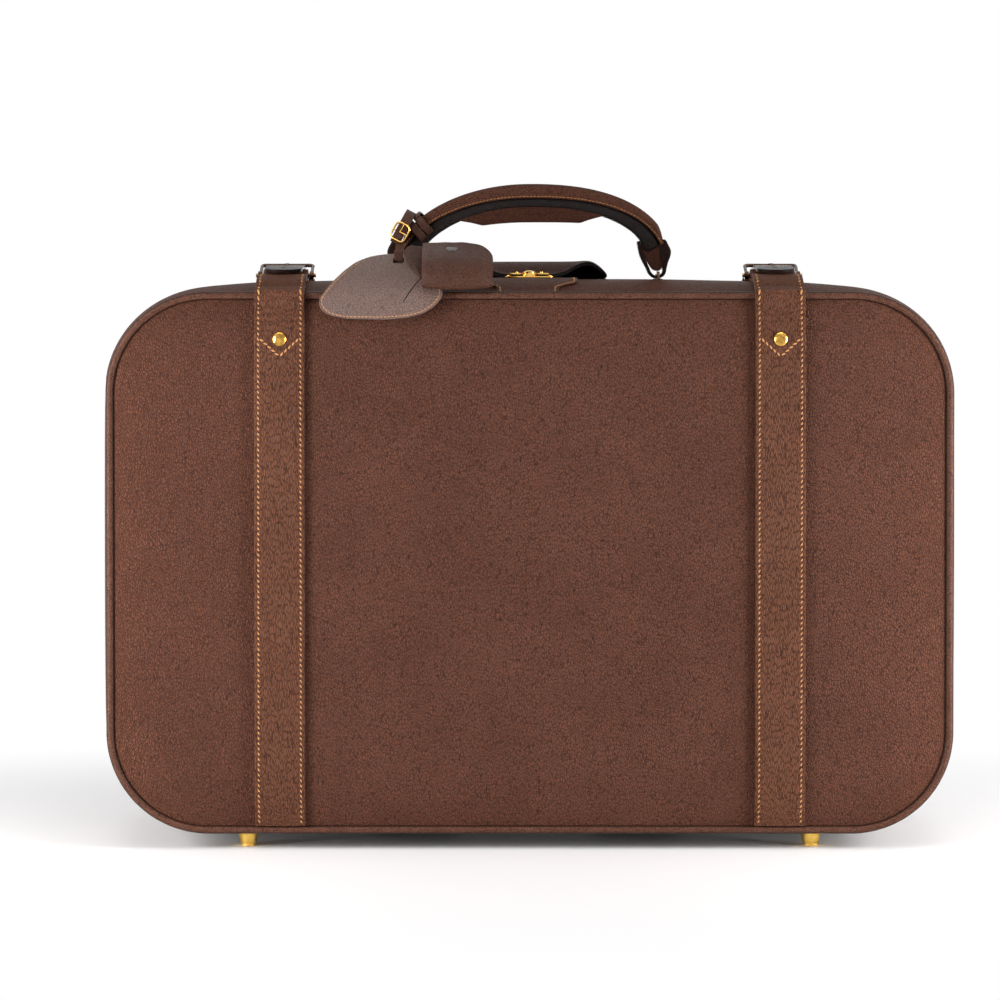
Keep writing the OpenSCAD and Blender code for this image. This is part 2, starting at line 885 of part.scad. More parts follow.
module handle_pad() {
    top = arc_points(inner_a - core_narrow, inner_b - core_t, pad_angle);
    end_x = top[0][0];
    color(dark_brown)
        deep(-handle_w / 2 + 2, handle_w / 2 - 2)
            polygon(concat(top, [[3 - end_x, pad_bottom], [end_x - 3, pad_bottom]]));
}

// Each end of the handle: a loop of leather round a filler, with an eye for the staple's bar
loop_w = 17;
staple_r = 1.3;
staple_z = case_top + 4.5;
function above_staple(points) = [for (p = points) [staple_x + p[0], case_top + p[1]]];
loop_outer = concat(
    [arch_point(handle_span, handle_rise, leg_angle)],
    above_staple([[7.1, 20.3], [8, 15.5], [6.6, 9.6], [4.6, 4.8], [3, 1.8], [0, 0.5],
        [-3, 1.8], [-4.6, 5], [-6.3, 10.4], [-8.4, 16.6]]),
    [arch_point(inner_a, inner_b, leg_angle)]
);
loop_inner = above_staple([
    [0.4, 26.6], [3.9, 19.8], [4.8, 15.4], [3.5, 9.8], [2.1, 5.6], [1.6, 3.9],
    [0, 2.8], [-1.6, 3.9], [-2.1, 5.6], [-3.4, 10.8], [-5.4, 17.2], [-7.7, 23.9]
]);
eye_top = case_top + 9;
module loop_ring() {
    difference() {
        polygon(loop_outer);
        polygon(loop_inner);
    }
}
module filler_shape() {
    intersection() {
        polygon(loop_inner);
        translate([staple_x - 20, eye_top])
            square([40, 30]);
    }
}
module both_ends(width) {
    for (side = [0, 1])
        mirror([side, 0, 0])
            deep(-width / 2, width / 2)
                children();
}
module handle_loops() {
    color(brown) both_ends(loop_w) loop_ring();
}
module handle_fillers() {
    color(dark_brown) both_ends(loop_w - 2) filler_shape();
}
module handle_staples() {
    reach = loop_w / 2 + 1.8;
    base = top_z(staple_x);
    color(gold)
        for (side = [-1, 1])
            translate([side * staple_x, 0, 0]) {
                translate([0, 0, staple_z])
                    rotate([90, 0, 0])
                        cylinder(2 * reach, r = staple_r, center = true);
                for (end = [-1, 1]) {
                    translate([0, end * reach, base])
                        cylinder(staple_z - base, r = staple_r);
                    translate([0, end * reach, staple_z])
                        sphere(staple_r);
                    translate([0, end * reach, base])
                        cylinder(0.6, r = 3.2);
                }
            }
}

// Tag strap: two turns round the handle's left leg, a small buckle, and a tail to the tags

turn_angle = 145;
turn_mid = [handle_span - grip_t / 2, handle_rise - grip_drop / 2];
turn_slope = atan2(turn_mid[1] * cos(turn_angle), -turn_mid[0] * sin(turn_angle));
thong_t = 1.6;
thong_w = 7;
module tag_strap() {
    middle = arch_point(turn_mid[0], turn_mid[1], turn_angle);
    inside = [8, handle_w / 2 + 0.3];
    color(dark_brown)
        for (turn = [-1, 1])
            translate([middle[0], 0, middle[1]])
                rotate([0, -turn_slope, 0])
                    translate([turn * thong_w * 0.53, 0, 0])
                        difference() {
                            translate([-thong_w / 2, -inside[1] - thong_t, -inside[0] - thong_t])
                                cube([thong_w, 2 * (inside[1] + thong_t), 2 * (inside[0] + thong_t)]);
                            translate([-thong_w, -inside[1], -inside[0]])
                                cube([2 * thong_w, 2 * inside[1], 2 * inside[0]]);
                        }
}
small_buckle = [11 - handle_span, -handle_w / 2 - 0.3 - thong_t, case_top + 34.5];
module tag_strap_buckle() {
    color(gold)
        translate(small_buckle)
            rotate([90, 0, 0])
                difference() {
                    union() {
                        translate([-6, -6.5, 0])
                            cube([12, 13, 1.4]);
                        translate([-0.6, -7.4, 1.4])
                            cube([1.2, 14, 1]);
                    }
                    translate([-4.4, -4.9, -1])
                        cube([8.8, 4.1, 2.4]);
                    translate([-4.4, 0.8, -1])
                        cube([8.8, 4.1, 2.4]);
                }
}
tail_path = concat(
    above_top([[-handle_w / 2 - 2.3, 26.2], [-handle_w / 2 - 8, 22.6], [-handle_w / 2 - 17, 18.9]]),
    above_front([[44, 17.6], [35.6, 15.6], [29, 11.8], [24.5, 9.2], [21, 9.4], [19.4, 12.6],
        [19, 16.4], [18, 21]])
);
module tag_strap_tail() {
    color(dark_brown)
        across(small_buckle[0], thong_w - 0.6)
            polygon(concat(tail_path, backward(beside(tail_path, -thong_t))));
}

// Luggage tag: two leaves, bent over the front edge of the case

tag_path = above_front([[25.5, 16.6], [19, 12.4], [12, 7.2], [4.8, 1.8], [-1, -3.4], [-5.4, -9],
    [-8.4, -15.6], [-10.2, -21.8], [-11, -27.4]]);
tag_leaf_t = 1.6;
// How far the tag reaches to the left and right of its middle at each point of its path
tag_reach = [[1, 14], [-16, 23], [-24, 30.5], [-30, 36.5], [-35, 41], [-39.5, 43.5], [-43, 40.5],
    [-40, 33], [-18, 18]];
tag_steps = len(tag_path) - 1;
function tag_grid(out) = [
    for (k = [0 : tag_steps])
        let (p = beside(tag_path, -out)[k], left = tag_reach[k][0], right = tag_reach[k][1])
        [for (j = [0 : 8]) [tag_x + left + (right - left) * j / 8, p[0], p[1]]]
];
// A slot that the strap's tail goes through, this far in front of the tail
module tail_slot(front) {
    translate([small_buckle[0] - thong_w / 2, tail_path[9][0] - front, case_top + 3])
        cube([thong_w, thong_t + 1.8, 20]);
}
module tag_front() {
    color(brown)
        difference() {
            sheet(tag_grid(tag_leaf_t), tag_grid(0));
            tail_slot(0.6);
        }
}
module tag_back() {
    color(dark_brown)
        difference() {
            sheet(tag_grid(0), tag_grid(-tag_leaf_t));
            tail_slot(0.6);
        }
}

// Key case: leather folded round the keys, leaning on the case in front of the handle

key_case_base = [-10.1 - face_y, case_top - 4.1];
key_case_lean = 40;
key_case_h = 44;
key_leaf_t = 1.8;
key_corner_r = 22;
key_tab = 21;
module key_case_frame() {
    translate([key_case_x, key_case_base[0], key_case_base[1]])
        rotate([key_case_lean, 0, 0])
            children();
}
// Middle of the leather seen from its side: up the back leaf from the fold, and up the front leaf,
// which stands out over the keys and leans back to the top
back_leaf = [[3.4, -2.2], [key_case_h, -2.2]];
front_leaf = [[1.6, -1.2], [1.2, 0.8], [2.3, 4], [5, 7.8], [9, 10.6], [14, 11.6], [20, 10.9],
    [26, 9.2], [32, 7], [38, 4.6], [key_case_h, 2.2]];
key_middle = concat(backward(back_leaf), front_leaf);
module key_tab_shape() {
    difference() {
        polygon([[1, 14], [-7, 16], [-key_tab, 29], [-key_tab, key_case_h], [1, key_case_h]]);
        key_corner(8 - key_tab, 8, -1);
    }
}
// What is cut away outside a rounded upper corner that starts at a distance from the left
module key_corner(start, r, side) {
    translate([start, key_case_h - r])
        difference() {
            translate([side > 0 ? 0 : -2 * r, 0])
                square([2 * r, 2 * r]);
            circle(r);
        }
}
module key_case() {
    color(brown)
        difference() {
            key_case_frame() {
                rotate([90, 0, 90])
                    linear_extrude(key_case_w)
                        polygon(concat(beside(key_middle, key_leaf_t / 2),
                            backward(beside(key_middle, -key_leaf_t / 2))));
                translate([0, 0, -2.2 - key_leaf_t / 2])
                    linear_extrude(key_leaf_t)
                        key_tab_shape();
            }
            key_case_frame()
                translate([0, 0, -5])
                    linear_extrude(20)
                        key_corner(key_case_w - key_corner_r, key_corner_r, 1);
            tail_slot(1.2);
        }
}
snap_at = front_leaf[8];
snap_slope = atan2(front_leaf[9][1] - front_leaf[7][1], front_leaf[9][0] - front_leaf[7][0]);
module key_case_snap() {
    color(steel)
        key_case_frame()
            translate([22, snap_at[0], snap_at[1]])
                rotate([snap_slope, 0, 0])
                    translate([0, 0, key_leaf_t / 2 + 0.1])
                        cylinder(1.2, 4, 3.4);
}
module keys() {
    color(steel)
        key_case_frame()
            for (x = [14, 36])
                translate([x, 22, -0.9]) {
                    difference() {
                        cylinder(1.8, r = 7);
                        translate([0, 3, -1])
                            cylinder(4, r = 2.2);
                    }
                    translate([-1.6, -18, 0])
                        cube([3.2, 13, 1.8]);
                    translate([0, -17.5, 0])
                        cube([4.6, 5, 1.8]);
                }
}

front_panel();
front_gusset();
front_piping();
front_rim_frame();
front_lining();
front_strap_left();
front_strap_right();
strap_studs();
front_feet();
front_foot_screws();
front_hinge_leaves();
hinge_pins();
lock_patch();
lock_plate();
lock_case();
lock_spring();
handle_staples();
buckle_bars();
rear_panel();
rear_gusset();
rear_piping();
rear_rim_frame();
rear_lining();
rear_strap_left();
rear_strap_right();
rear_feet();
rear_foot_screws();
rear_hinge_leaves();
flap_leather();
flap_lining();
flap_plate();
flap_rivets();
lock_button();
handle_grip();
handle_core();
handle_pad();
handle_loops();
handle_fillers();
tag_strap();
tag_strap_buckle();
tag_strap_tail();
tag_front();
tag_back();
key_case();
key_case_snap();
keys();
buckle_frame_left();
buckle_frame_right();
buckle_prong_left();
buckle_prong_right();
billet_left();
billet_right();
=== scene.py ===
# %% [markdown]
# # A leather suitcase
# The suitcase stands on four brass feet. Two straps go over it, a handle arches above the lock, and
# a luggage tag and a key case hang from the handle. The frame below holds every piece at its real
# size, so each cell only has to make a piece look like leather, thread or brass.

# %% Load the frame
import json
import math
from math import radians

import bpy
from mathutils import Matrix, Vector


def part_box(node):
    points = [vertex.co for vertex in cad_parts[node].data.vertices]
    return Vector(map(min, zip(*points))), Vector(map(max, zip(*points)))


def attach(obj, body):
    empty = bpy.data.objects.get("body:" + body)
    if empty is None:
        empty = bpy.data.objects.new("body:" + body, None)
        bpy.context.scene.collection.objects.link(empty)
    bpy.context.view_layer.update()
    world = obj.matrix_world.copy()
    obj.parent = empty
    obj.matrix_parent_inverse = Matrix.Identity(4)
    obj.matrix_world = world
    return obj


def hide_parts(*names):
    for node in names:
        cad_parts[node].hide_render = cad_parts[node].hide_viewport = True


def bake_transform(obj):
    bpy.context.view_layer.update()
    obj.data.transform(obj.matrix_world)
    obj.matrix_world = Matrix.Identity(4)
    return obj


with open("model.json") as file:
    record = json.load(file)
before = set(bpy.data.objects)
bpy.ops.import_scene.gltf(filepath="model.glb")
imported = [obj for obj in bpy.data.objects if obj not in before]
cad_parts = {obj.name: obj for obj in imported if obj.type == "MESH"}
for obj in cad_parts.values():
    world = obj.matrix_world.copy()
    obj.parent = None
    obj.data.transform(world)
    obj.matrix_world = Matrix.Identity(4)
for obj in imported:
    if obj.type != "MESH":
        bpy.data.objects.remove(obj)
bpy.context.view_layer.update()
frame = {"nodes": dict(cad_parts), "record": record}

MM = 0.001
home = {node: body for body, nodes in frame["record"]["behaviour"]["bodies"].items() for node in nodes}

# %% [markdown]
# ## Working in edit mode without a mouse
# By hand, a modeller clicks on the edges or faces to change. Here they are chosen by where they are
# or which way they face, and the same operators then act on them. An operator acts on all that is
# selected, so everything else is deselected first.

# %% Choose, change and finish
def metres(*place):
    """A place given in millimetres."""
    return tuple(value * MM for value in place)


def box_of(node):
    """The lowest and the highest corner of a CAD node, in millimetres."""
    return [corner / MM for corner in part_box(node)]


def middle_of(node):
    low, high = box_of(node)
    return (low + high) / 2


def moved(*offset):
    return Matrix.Translation(metres(*offset))


def turned(angle, axis):
    return Matrix.Rotation(radians(angle), 4, axis)


def only(piece):
    bpy.ops.object.select_all(action="DESELECT")
    piece.select_set(True)
    bpy.context.view_layer.objects.active = piece


def choose(piece, kind, wanted):
    """Opens piece in edit mode with only what wanted() accepts selected."""
    only(piece)
    bpy.ops.object.mode_set(mode="EDIT")
    bpy.ops.mesh.select_mode(type=kind)
    bpy.ops.mesh.select_all(action="DESELECT")
    bpy.ops.object.mode_set(mode="OBJECT")
    mesh = piece.data
    points = mesh.vertices
    if kind == "VERT":
        for point in points:
            point.select = wanted(point.co)
    elif kind == "EDGE":
        for edge in mesh.edges:
            edge.select = wanted(points[edge.vertices[0]].co, points[edge.vertices[1]].co)
    else:
        for face in mesh.polygons:
            face.select = wanted(face.center, face.normal)
    bpy.ops.object.mode_set(mode="EDIT")


def close_edit():
    bpy.ops.object.mode_set(mode="OBJECT")


def modify(piece, kind, **settings):
    """Adds one modifier with its settings and applies it."""
    only(piece)
    modifier = piece.modifiers.new(kind.lower(), kind)
    for name, value in settings.items():
        setattr(modifier, name, value)
    bpy.ops.object.modifier_apply(modifier=modifier.name)


def smooth(piece, angle=40):
    only(piece)
    bpy.ops.object.shade_smooth_by_angle(angle=radians(angle))


def settle(piece, material, slot, *nodes, angle=None, body=None, bends=None):
    """Gives a finished piece its material and its body, and hides the CAD nodes that it stands for.

    It is shaded smooth up to an angle. Its body is that of its first node, unless one is given. A piece
    given bends is left in place with no body; the two bodies and the ends of the bend are not used.
    """
    if angle:
        smooth(piece, angle)
    piece.data.materials.clear()
    piece.data.materials.append(material)
    if bends:
        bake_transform(piece)
    else:
        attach(piece, body or home[nodes[0]])
    if nodes:
        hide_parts(*nodes)
    print(piece.name, "has", len(piece.data.polygons), "faces")


def copy_of(node, name):
    """A copy of a CAD node, with its loose triangles merged and its flat pairs made quads."""
    piece = bpy.data.objects.new(name, frame["nodes"][node].data.copy())
    bpy.context.scene.collection.objects.link(piece)
    only(piece)
    bpy.ops.object.mode_set(mode="EDIT")
    bpy.ops.mesh.customdata_custom_splitnormals_clear()
    bpy.ops.mesh.select_all(action="SELECT")
    bpy.ops.mesh.remove_doubles(threshold=0.00001)
    bpy.ops.mesh.tris_convert_to_quads(face_threshold=radians(25), shape_threshold=radians(60))
    close_edit()
    return piece


def join(name, pieces):
    only(pieces[0])
    for piece in pieces[1:]:
        piece.select_set(True)
    bpy.ops.object.join()
    pieces[0].name = name
    return pieces[0]


# %% [markdown]
# ## Node trees
# The world, the floor and every material are node trees. One helper adds a node with its settings
# and its inputs, and a few more build the kinds that occur most.

# %% Helpers for node trees
def add(tree, kind, inputs=None, **settings):
    """Adds a shader node. Inputs that are sockets are linked, others are values."""
    node = tree.nodes.new("ShaderNode" + kind)
    for name, value in settings.items():
        setattr(node, name, value)
    for name, value in (inputs or {}).items():
        if isinstance(value, bpy.types.NodeSocket):
            tree.links.new(value, node.inputs[name])
        else:
            node.inputs[name].default_value = value
    return node


def math_node(tree, operation, first, second=0.0, third=0.0):
    return add(tree, "Math", {0: first, 1: second, 2: third}, operation=operation).outputs[0]


def ramp(tree, value, low, high, to_low=0.0, to_high=1.0):
    found = add(tree, "MapRange", {"Value": value, "From Min": low, "From Max": high,
                "To Min": to_low, "To Max": to_high}, interpolation_type="SMOOTHSTEP")
    return found.outputs["Result"]


def mix_colour(tree, factor, first, second):
    found = add(tree, "Mix", {0: factor, 6: first, 7: second}, data_type="RGBA")
    return found.outputs[2]


def start_group(name, inputs, outputs):
    tree = bpy.data.node_groups.new(name, "ShaderNodeTree")
    for label, kind, value in inputs:
        socket = tree.interface.new_socket(label, in_out="INPUT", socket_type=kind)
        socket.default_value = value
    for label in outputs:
        tree.interface.new_socket(label, in_out="OUTPUT", socket_type="NodeSocketFloat")
    return tree, tree.nodes.new("NodeGroupInput").outputs, tree.nodes.new("NodeGroupOutput").inputs


def vector_node(tree, operation, first, second=(0, 0, 0), scale=1.0):
    found = add(tree, "VectorMath", {0: first, 1: second, 3: scale}, operation=operation)
    return found.outputs[0]


def in_millimetres(tree, vector, size):
    """The place divided by a size in millimetres."""
    return vector_node(tree, "SCALE", vector, scale=math_node(tree, "DIVIDE", 1 / MM, size))

# %% [markdown]
# ## The camera
# The photograph was taken from just above the height of the case's top, a little left of its
# middle, with a long lens that looks slightly down. The place comes from how far the top edge and
# the rear of the buckles shift against the front face. The two straps are almost parallel in the
# picture, so the camera was hardly tilted, and the frame was shifted down instead.

# %% Camera
camera_place = (-0.0211, -2.682, 0.420)
camera_pitch = 1.4
bpy.ops.object.camera_add(location=camera_place, rotation=(radians(90 - camera_pitch), 0, 0))
camera = bpy.context.active_object
camera.data.lens = 133.0
camera.data.shift_y = -0.1552
camera.data.clip_end = 50
bpy.context.scene.camera = camera
print("camera at", camera_place, "with a lens of", camera.data.lens, "mm")

# %% [markdown]
# ## Light and floor
# The real studio is a white sweep with large soft lamps on both sides. A narrow one close to each
# side draws a pale band down each edge of the front, and a weak one lights the back. The world is
# white only to the camera and in reflections, and dimmer as a lamp, so the leather keeps the colour
# that it is given.

# %% World and lamps
world_as_lamp = 0.16
world = bpy.data.worlds.new("studio")
bpy.context.scene.world = world
world.use_nodes = True
tree = world.node_tree
tree.nodes.clear()
rays = add(tree, "LightPath").outputs
seen = math_node(tree, "MAXIMUM", rays["Is Camera Ray"], rays["Is Glossy Ray"])
seen = math_node(tree, "MAXIMUM", seen, rays["Is Transmission Ray"])
level = add(tree, "MapRange", {"Value": seen, "To Min": world_as_lamp, "To Max": 1.0}).outputs[0]
sky = add(tree, "Background", {"Color": (1, 1, 1, 1), "Strength": level})
add(tree, "OutputWorld", {0: sky.outputs[0]})
bpy.context.scene.view_settings.view_transform = "Standard"


def softbox(name, place, target, size, watts):
    bpy.ops.object.light_add(type="AREA", location=place)
    lamp = bpy.context.active_object
    lamp.name = name
    lamp.rotation_euler = (Vector(target) - Vector(place)).to_track_quat("-Z", "Y").to_euler()
    lamp.data.shape = "RECTANGLE"
    lamp.data.size, lamp.data.size_y = size
    lamp.data.energy = watts


softbox("left_softbox", (-1.1, -0.75, 0.32), (-0.2, 0, 0.2), (0.5, 1.0), 17)
softbox("right_softbox", (1.25, -0.40, 0.28), (0.2, 0, 0.2), (0.5, 1.0), 15.5)
softbox("left_strip", (-0.75, -0.36, 0.22), (-0.29, -0.08, 0.2), (0.14, 0.6), 5.6)
softbox("right_strip", (0.76, -0.33, 0.22), (0.29, -0.08, 0.2), (0.14, 0.6), 6.4)
softbox("top_softbox", (0, -0.3, 2.2), (0, 0, 0.3), (1.8, 1.0), 14)
softbox("rear_fill", (0.3, 1.9, 0.3), (0, 0, 0.2), (1.2, 0.6), 6)
print("six softboxes and a white world")

# %% [markdown]
# ## Shader groups
# Grain and drifting tone occur in every leather here. Each is a node group that is built once,
# takes its sizes in millimetres, and gives out only masks and heights. The shader itself stays in
# each material.

# %% Pebbled grain
tree, given, result = start_group(
    "pebbled_grain",
    [("Place", "NodeSocketVector", (0, 0, 0)), ("Pebble", "NodeSocketFloat", 1.4),
     ("Stretch", "NodeSocketVector", (1, 1, 1)), ("Wander", "NodeSocketFloat", 1.0)],
    ["Height", "Crease"],
)
place = in_millimetres(tree, vector_node(tree, "MULTIPLY", given["Place"], given["Stretch"]),
                       given["Pebble"])


def pushed_about(place, scale, reach):
    """The place pushed about by a noise. A slow, far push draws the pebbles out along its flow."""
    push = add(tree, "TexNoise", {"Vector": place, "Scale": scale, "Detail": 1.0})
    centred = vector_node(tree, "SUBTRACT", push.outputs["Color"], (0.5, 0.5, 0.5))
    far = math_node(tree, "MULTIPLY", given["Wander"], reach)
    return vector_node(tree, "ADD", vector_node(tree, "SCALE", centred, scale=far), place)


wobbled = pushed_about(pushed_about(place, 0.10, 4.0), 0.7, 0.9)
large, small = [add(tree, "TexVoronoi", {"Vector": wobbled, "Scale": scale},
                    feature="DISTANCE_TO_EDGE").outputs["Distance"] for scale in (1.0, 2.1)]
broken = add(tree, "TexNoise", {"Vector": place, "Scale": 0.5, "Detail": 2.0}).outputs[0]
depth = ramp(tree, broken, 0.3, 0.7, 0.65, 1.0)
large_height = math_node(tree, "MULTIPLY", ramp(tree, large, 0.0, 0.30), depth)
small_height = math_node(tree, "MULTIPLY", ramp(tree, small, 0.0, 0.35), 0.35)
tree.links.new(math_node(tree, "ADD", large_height, small_height), result["Height"])
tree.links.new(math_node(tree, "MULTIPLY", ramp(tree, large, 0.13, 0.0), depth), result["Crease"])
pebbled_grain = tree

# %% Drifting tone
tree, given, result = start_group(
    "drifting_tone",
    [("Place", "NodeSocketVector", (0, 0, 0)), ("Patch", "NodeSocketFloat", 60.0)],
    ["Amount"],
)
place = in_millimetres(tree, given["Place"], given["Patch"])
cloud = add(tree, "TexNoise", {"Vector": place, "Scale": 1.0, "Detail": 4.0, "Roughness": 0.6})
tree.links.new(ramp(tree, cloud.outputs[0], 0.32, 0.68), result["Amount"])
drifting_tone = tree
print("groups:", [group.name for group in bpy.data.node_groups])


# %% [markdown]
# ## Leather
# The case is one hide: a warm brown with fine pebbles of a millimetre or so, darker in the creases
# and in slow patches. The strap leather has the same colour, but its grain is drawn out along the
# strap. The gloss is that of a waxed finish: low and broad, never wet.

# %% Leather material
def start_material(name, inputs=None):
    material = bpy.data.materials.new(name)
    material.use_nodes = True
    tree = material.node_tree
    tree.nodes.clear()
    shader = add(tree, "BsdfPrincipled", inputs)
    add(tree, "OutputMaterial", {"Surface": shader.outputs[0]})
    place = add(tree, "TexCoord").outputs["Object"]
    return material, tree, shader, place


def feed(tree, shader, colour=None, roughness=None, height=None, depth=0.1):
    """Links what changes over the surface to the shader. depth is the relief in millimetres."""
    if colour is not None:
        tree.links.new(colour, shader.inputs["Base Color"])
    if roughness is not None:
        tree.links.new(roughness, shader.inputs["Roughness"])
    if height is not None:
        bump = add(tree, "Bump", {"Height": height, "Distance": depth * MM, "Strength": 1.0})
        tree.links.new(bump.outputs[0], shader.inputs["Normal"])


def tone_of(tree, place, patch):
    inputs = {"Place": place, "Patch": patch}
    return add(tree, "Group", inputs, node_tree=drifting_tone).outputs["Amount"]


def leather(name, brown, dark, pale, pebble=1.4, stretch=(1, 1, 1), depth=0.16, gloss=0.46,
            patch=70.0, specular=0.35, wander=1.0, seam=None):
    """A grained leather: its main colour, the colour of its creases, and its lighter patches."""
    material, tree, shader, place = start_material(name, {"Specular IOR Level": specular})
    grain = add(tree, "Group", {"Place": place, "Pebble": pebble, "Stretch": stretch,
                "Wander": wander}, node_tree=pebbled_grain).outputs
    pebbles = ramp(tree, grain["Height"], 0.1, 1.2, 0.0, 0.65)
    drift = math_node(tree, "MULTIPLY_ADD", tone_of(tree, place, patch), 0.3, pebbles)
    colour = mix_colour(tree, drift, (*brown, 1), (*pale, 1))
    colour = mix_colour(tree, grain["Crease"], colour, (*dark, 1))
    if seam:
        # Painted shade, with some dirt, darkest in the seams, which lie at a known depth in both halves of
        # the case. With its ends swapped, the same mask paints shade on the piping's sides behind its pale
        # crown
        deep = add(tree, "SeparateXYZ", {0: place}).outputs["Y"]
        painted_seam_shade = ramp(tree, math_node(tree, "ABSOLUTE", deep), *seam, 0.0, 0.8)
        colour = mix_colour(tree, painted_seam_shade, colour, (*dark, 1))
    roughness = ramp(tree, grain["Height"], 0.0, 1.2, gloss + 0.18, gloss - 0.04)
    feed(tree, shader, colour, roughness, grain["Height"], depth)
    return material


case_brown, case_dark, case_pale = (0.074, 0.0265, 0.0145), (0.026, 0.0095, 0.0065), (0.122, 0.047, 0.028)
strap_brown, strap_dark = (0.086, 0.032, 0.0165), (0.024, 0.009, 0.006)
strap_pale = (0.140, 0.057, 0.031)
case_leather = leather("case_leather", case_brown, case_dark, case_pale, pebble=1.4,
                       stretch=(1, 1, 0.55), depth=0.44, specular=0.07, gloss=0.40)
# The seams given to the edge and the piping paint shade: the edge darkens where it meets the piping, and
# the piping on its sides behind its crown
edge_leather = leather("edge_leather", (0.062, 0.0225, 0.0130), case_dark, (0.100, 0.041, 0.025),
                       pebble=1.4, depth=0.24, specular=0.05, gloss=0.46, seam=(0.0740, 0.0785))
piping_leather = leather("piping_leather", (0.076, 0.028, 0.016), (0.014, 0.006, 0.004),
                         (0.14, 0.060, 0.038), pebble=1.4, depth=0.12, patch=9.0, gloss=0.34,
                         specular=0.12, seam=(0.0836, 0.0829))
strap_leather = leather("strap_leather", strap_brown, strap_dark, strap_pale, pebble=1.05,
                        stretch=(1, 1, 0.2), depth=0.22, specular=0.07, wander=0.35)
handle_leather = leather("handle_leather", (0.060, 0.022, 0.013), strap_dark, (0.094, 0.038, 0.023),
                         pebble=1.3, stretch=(0.5, 1, 1), depth=0.12, specular=0.08, wander=0.5)
flap_top = leather("flap_top_leather", (0.062, 0.0245, 0.016), case_dark, (0.098, 0.041, 0.027),
                   pebble=1.5, depth=0.2, specular=0.12)
tag_leather = leather("tag_leather", (0.110, 0.054, 0.038), case_dark, (0.165, 0.087, 0.064),
                      pebble=1.5, depth=0.28, gloss=0.38, specular=0.6)
key_leather = leather("key_case_leather", (0.050, 0.0190, 0.0110), case_dark, (0.084, 0.0345, 0.0210),
                      pebble=1.5, depth=0.16, gloss=0.32, specular=0.14)
dark_leather = leather("dark_leather", (0.012, 0.0065, 0.005), (0.006, 0.003, 0.003),
                       (0.030, 0.014, 0.010), pebble=1.2, depth=0.05, gloss=0.22, specular=0.03)
pad_leather = leather("pad_leather", (0.040, 0.0135, 0.0075), (0.016, 0.0065, 0.005),
                      (0.066, 0.023, 0.012), pebble=1.0, stretch=(0.3, 1, 1), depth=0.08, gloss=0.42,
                      specular=0.08)
flap_backing = leather("flap_backing", (0.010, 0.009, 0.009), (0.004, 0.004, 0.004),
                       (0.02, 0.018, 0.018), pebble=1.0, depth=0.04, gloss=0.30, specular=0.45)
edge_paint = leather("edge_paint", (0.009, 0.007, 0.007), (0.005, 0.004, 0.004),
                     (0.024, 0.016, 0.013), pebble=1.1, depth=0.22, gloss=0.20, specular=0.06)
print("leathers:", [m.name for m in bpy.data.materials])


# %% [markdown]
# ## Thread, brass, steel and lining
# The thread is a waxed orange linen, twisted, so its colour and height run in slanted stripes. The brass is
# polished where it is touched and slightly brown where it isn't. On the studs its darker patches are also a
# painted dark reflection.

# %% Thread
thread, tree, shader, place = start_material("waxed_thread", {"Specular IOR Level": 0.3})
twist = add(tree, "TexWave", {"Vector": place, "Scale": 900.0, "Distortion": 1.5},
            bands_direction="DIAGONAL").outputs["Fac"]
colour = mix_colour(tree, twist, (0.36, 0.155, 0.045, 1), (0.62, 0.31, 0.11, 1))
feed(tree, shader, colour, ramp(tree, twist, 0, 1, 0.62, 0.5), twist, 0.05)


# %% Metals
def metal(name, bright, dark_tone, gloss, patch=12.0, dark_share=0.35):
    material, tree, shader, place = start_material(name, {"Metallic": 1.0})
    tone = tone_of(tree, place, patch)
    scratches = add(tree, "TexNoise", {"Vector": in_millimetres(tree, place, 0.7), "Scale": 1.0,
                    "Detail": 6.0, "Distortion": 2.0}).outputs[0]
    colour = mix_colour(tree, math_node(tree, "MULTIPLY", tone, dark_share), (*bright, 1), (*dark_tone, 1))
    roughness = math_node(tree, "ADD", ramp(tree, tone, 0, 1, gloss, gloss + 0.08),
                          ramp(tree, scratches, 0.5, 0.8, 0.0, 0.1))
    feed(tree, shader, colour, roughness, scratches, 0.008)
    return material


brass = metal("brass", (0.82, 0.50, 0.13), (0.45, 0.24, 0.07), 0.14)
foot_brass = metal("foot_brass", (0.96, 0.64, 0.15), (0.86, 0.50, 0.10), 0.26)
# The studs' brass is darker and patchier than the rest: partly tarnish, partly a painted reflection of dark
# surroundings
stud_brass = metal("stud_brass", (0.74, 0.43, 0.09), (0.26, 0.13, 0.03), 0.10, patch=5.0, dark_share=0.8)
bar_brass = metal("bar_brass", (0.62, 0.38, 0.12), (0.25, 0.14, 0.06), 0.18, patch=5.0, dark_share=0.9)
dark_bronze = metal("dark_bronze", (0.085, 0.048, 0.032), (0.028, 0.017, 0.012), 0.2, patch=5.0, dark_share=0.8)
steel = metal("steel", (0.55, 0.55, 0.56), (0.3, 0.29, 0.28), 0.3)
dark_steel = metal("dark_snap", (0.10, 0.085, 0.08), (0.05, 0.04, 0.04), 0.25)

# %% Lining cloth
lining_cloth, tree, shader, place = start_material("lining_cloth", {"Sheen Weight": 0.2})
threads_across_and_up = [
    add(tree, "TexWave", {"Vector": place, "Scale": 420.0}, bands_direction=way).outputs["Fac"]
    for way in ("X", "Z")]
weave = math_node(tree, "MULTIPLY", *threads_across_and_up)
slub = add(tree, "TexNoise", {"Vector": in_millimetres(tree, place, 5.0), "Scale": 1.0,
           "Detail": 5.0}).outputs[0]
colour = mix_colour(tree, math_node(tree, "MULTIPLY", weave, slub), (0.22, 0.15, 0.09, 1),
                    (0.42, 0.31, 0.2, 1))
feed(tree, shader, colour, ramp(tree, weave, 0, 1, 0.9, 0.75), weave, 0.12)

# %% [markdown]
# ## The floor
# A pale sweep. Near the case it is a plain pale floor that keeps the soft shadow. Further out its
# material gives way to white, as the lit paper of a studio does, so no horizon shows.

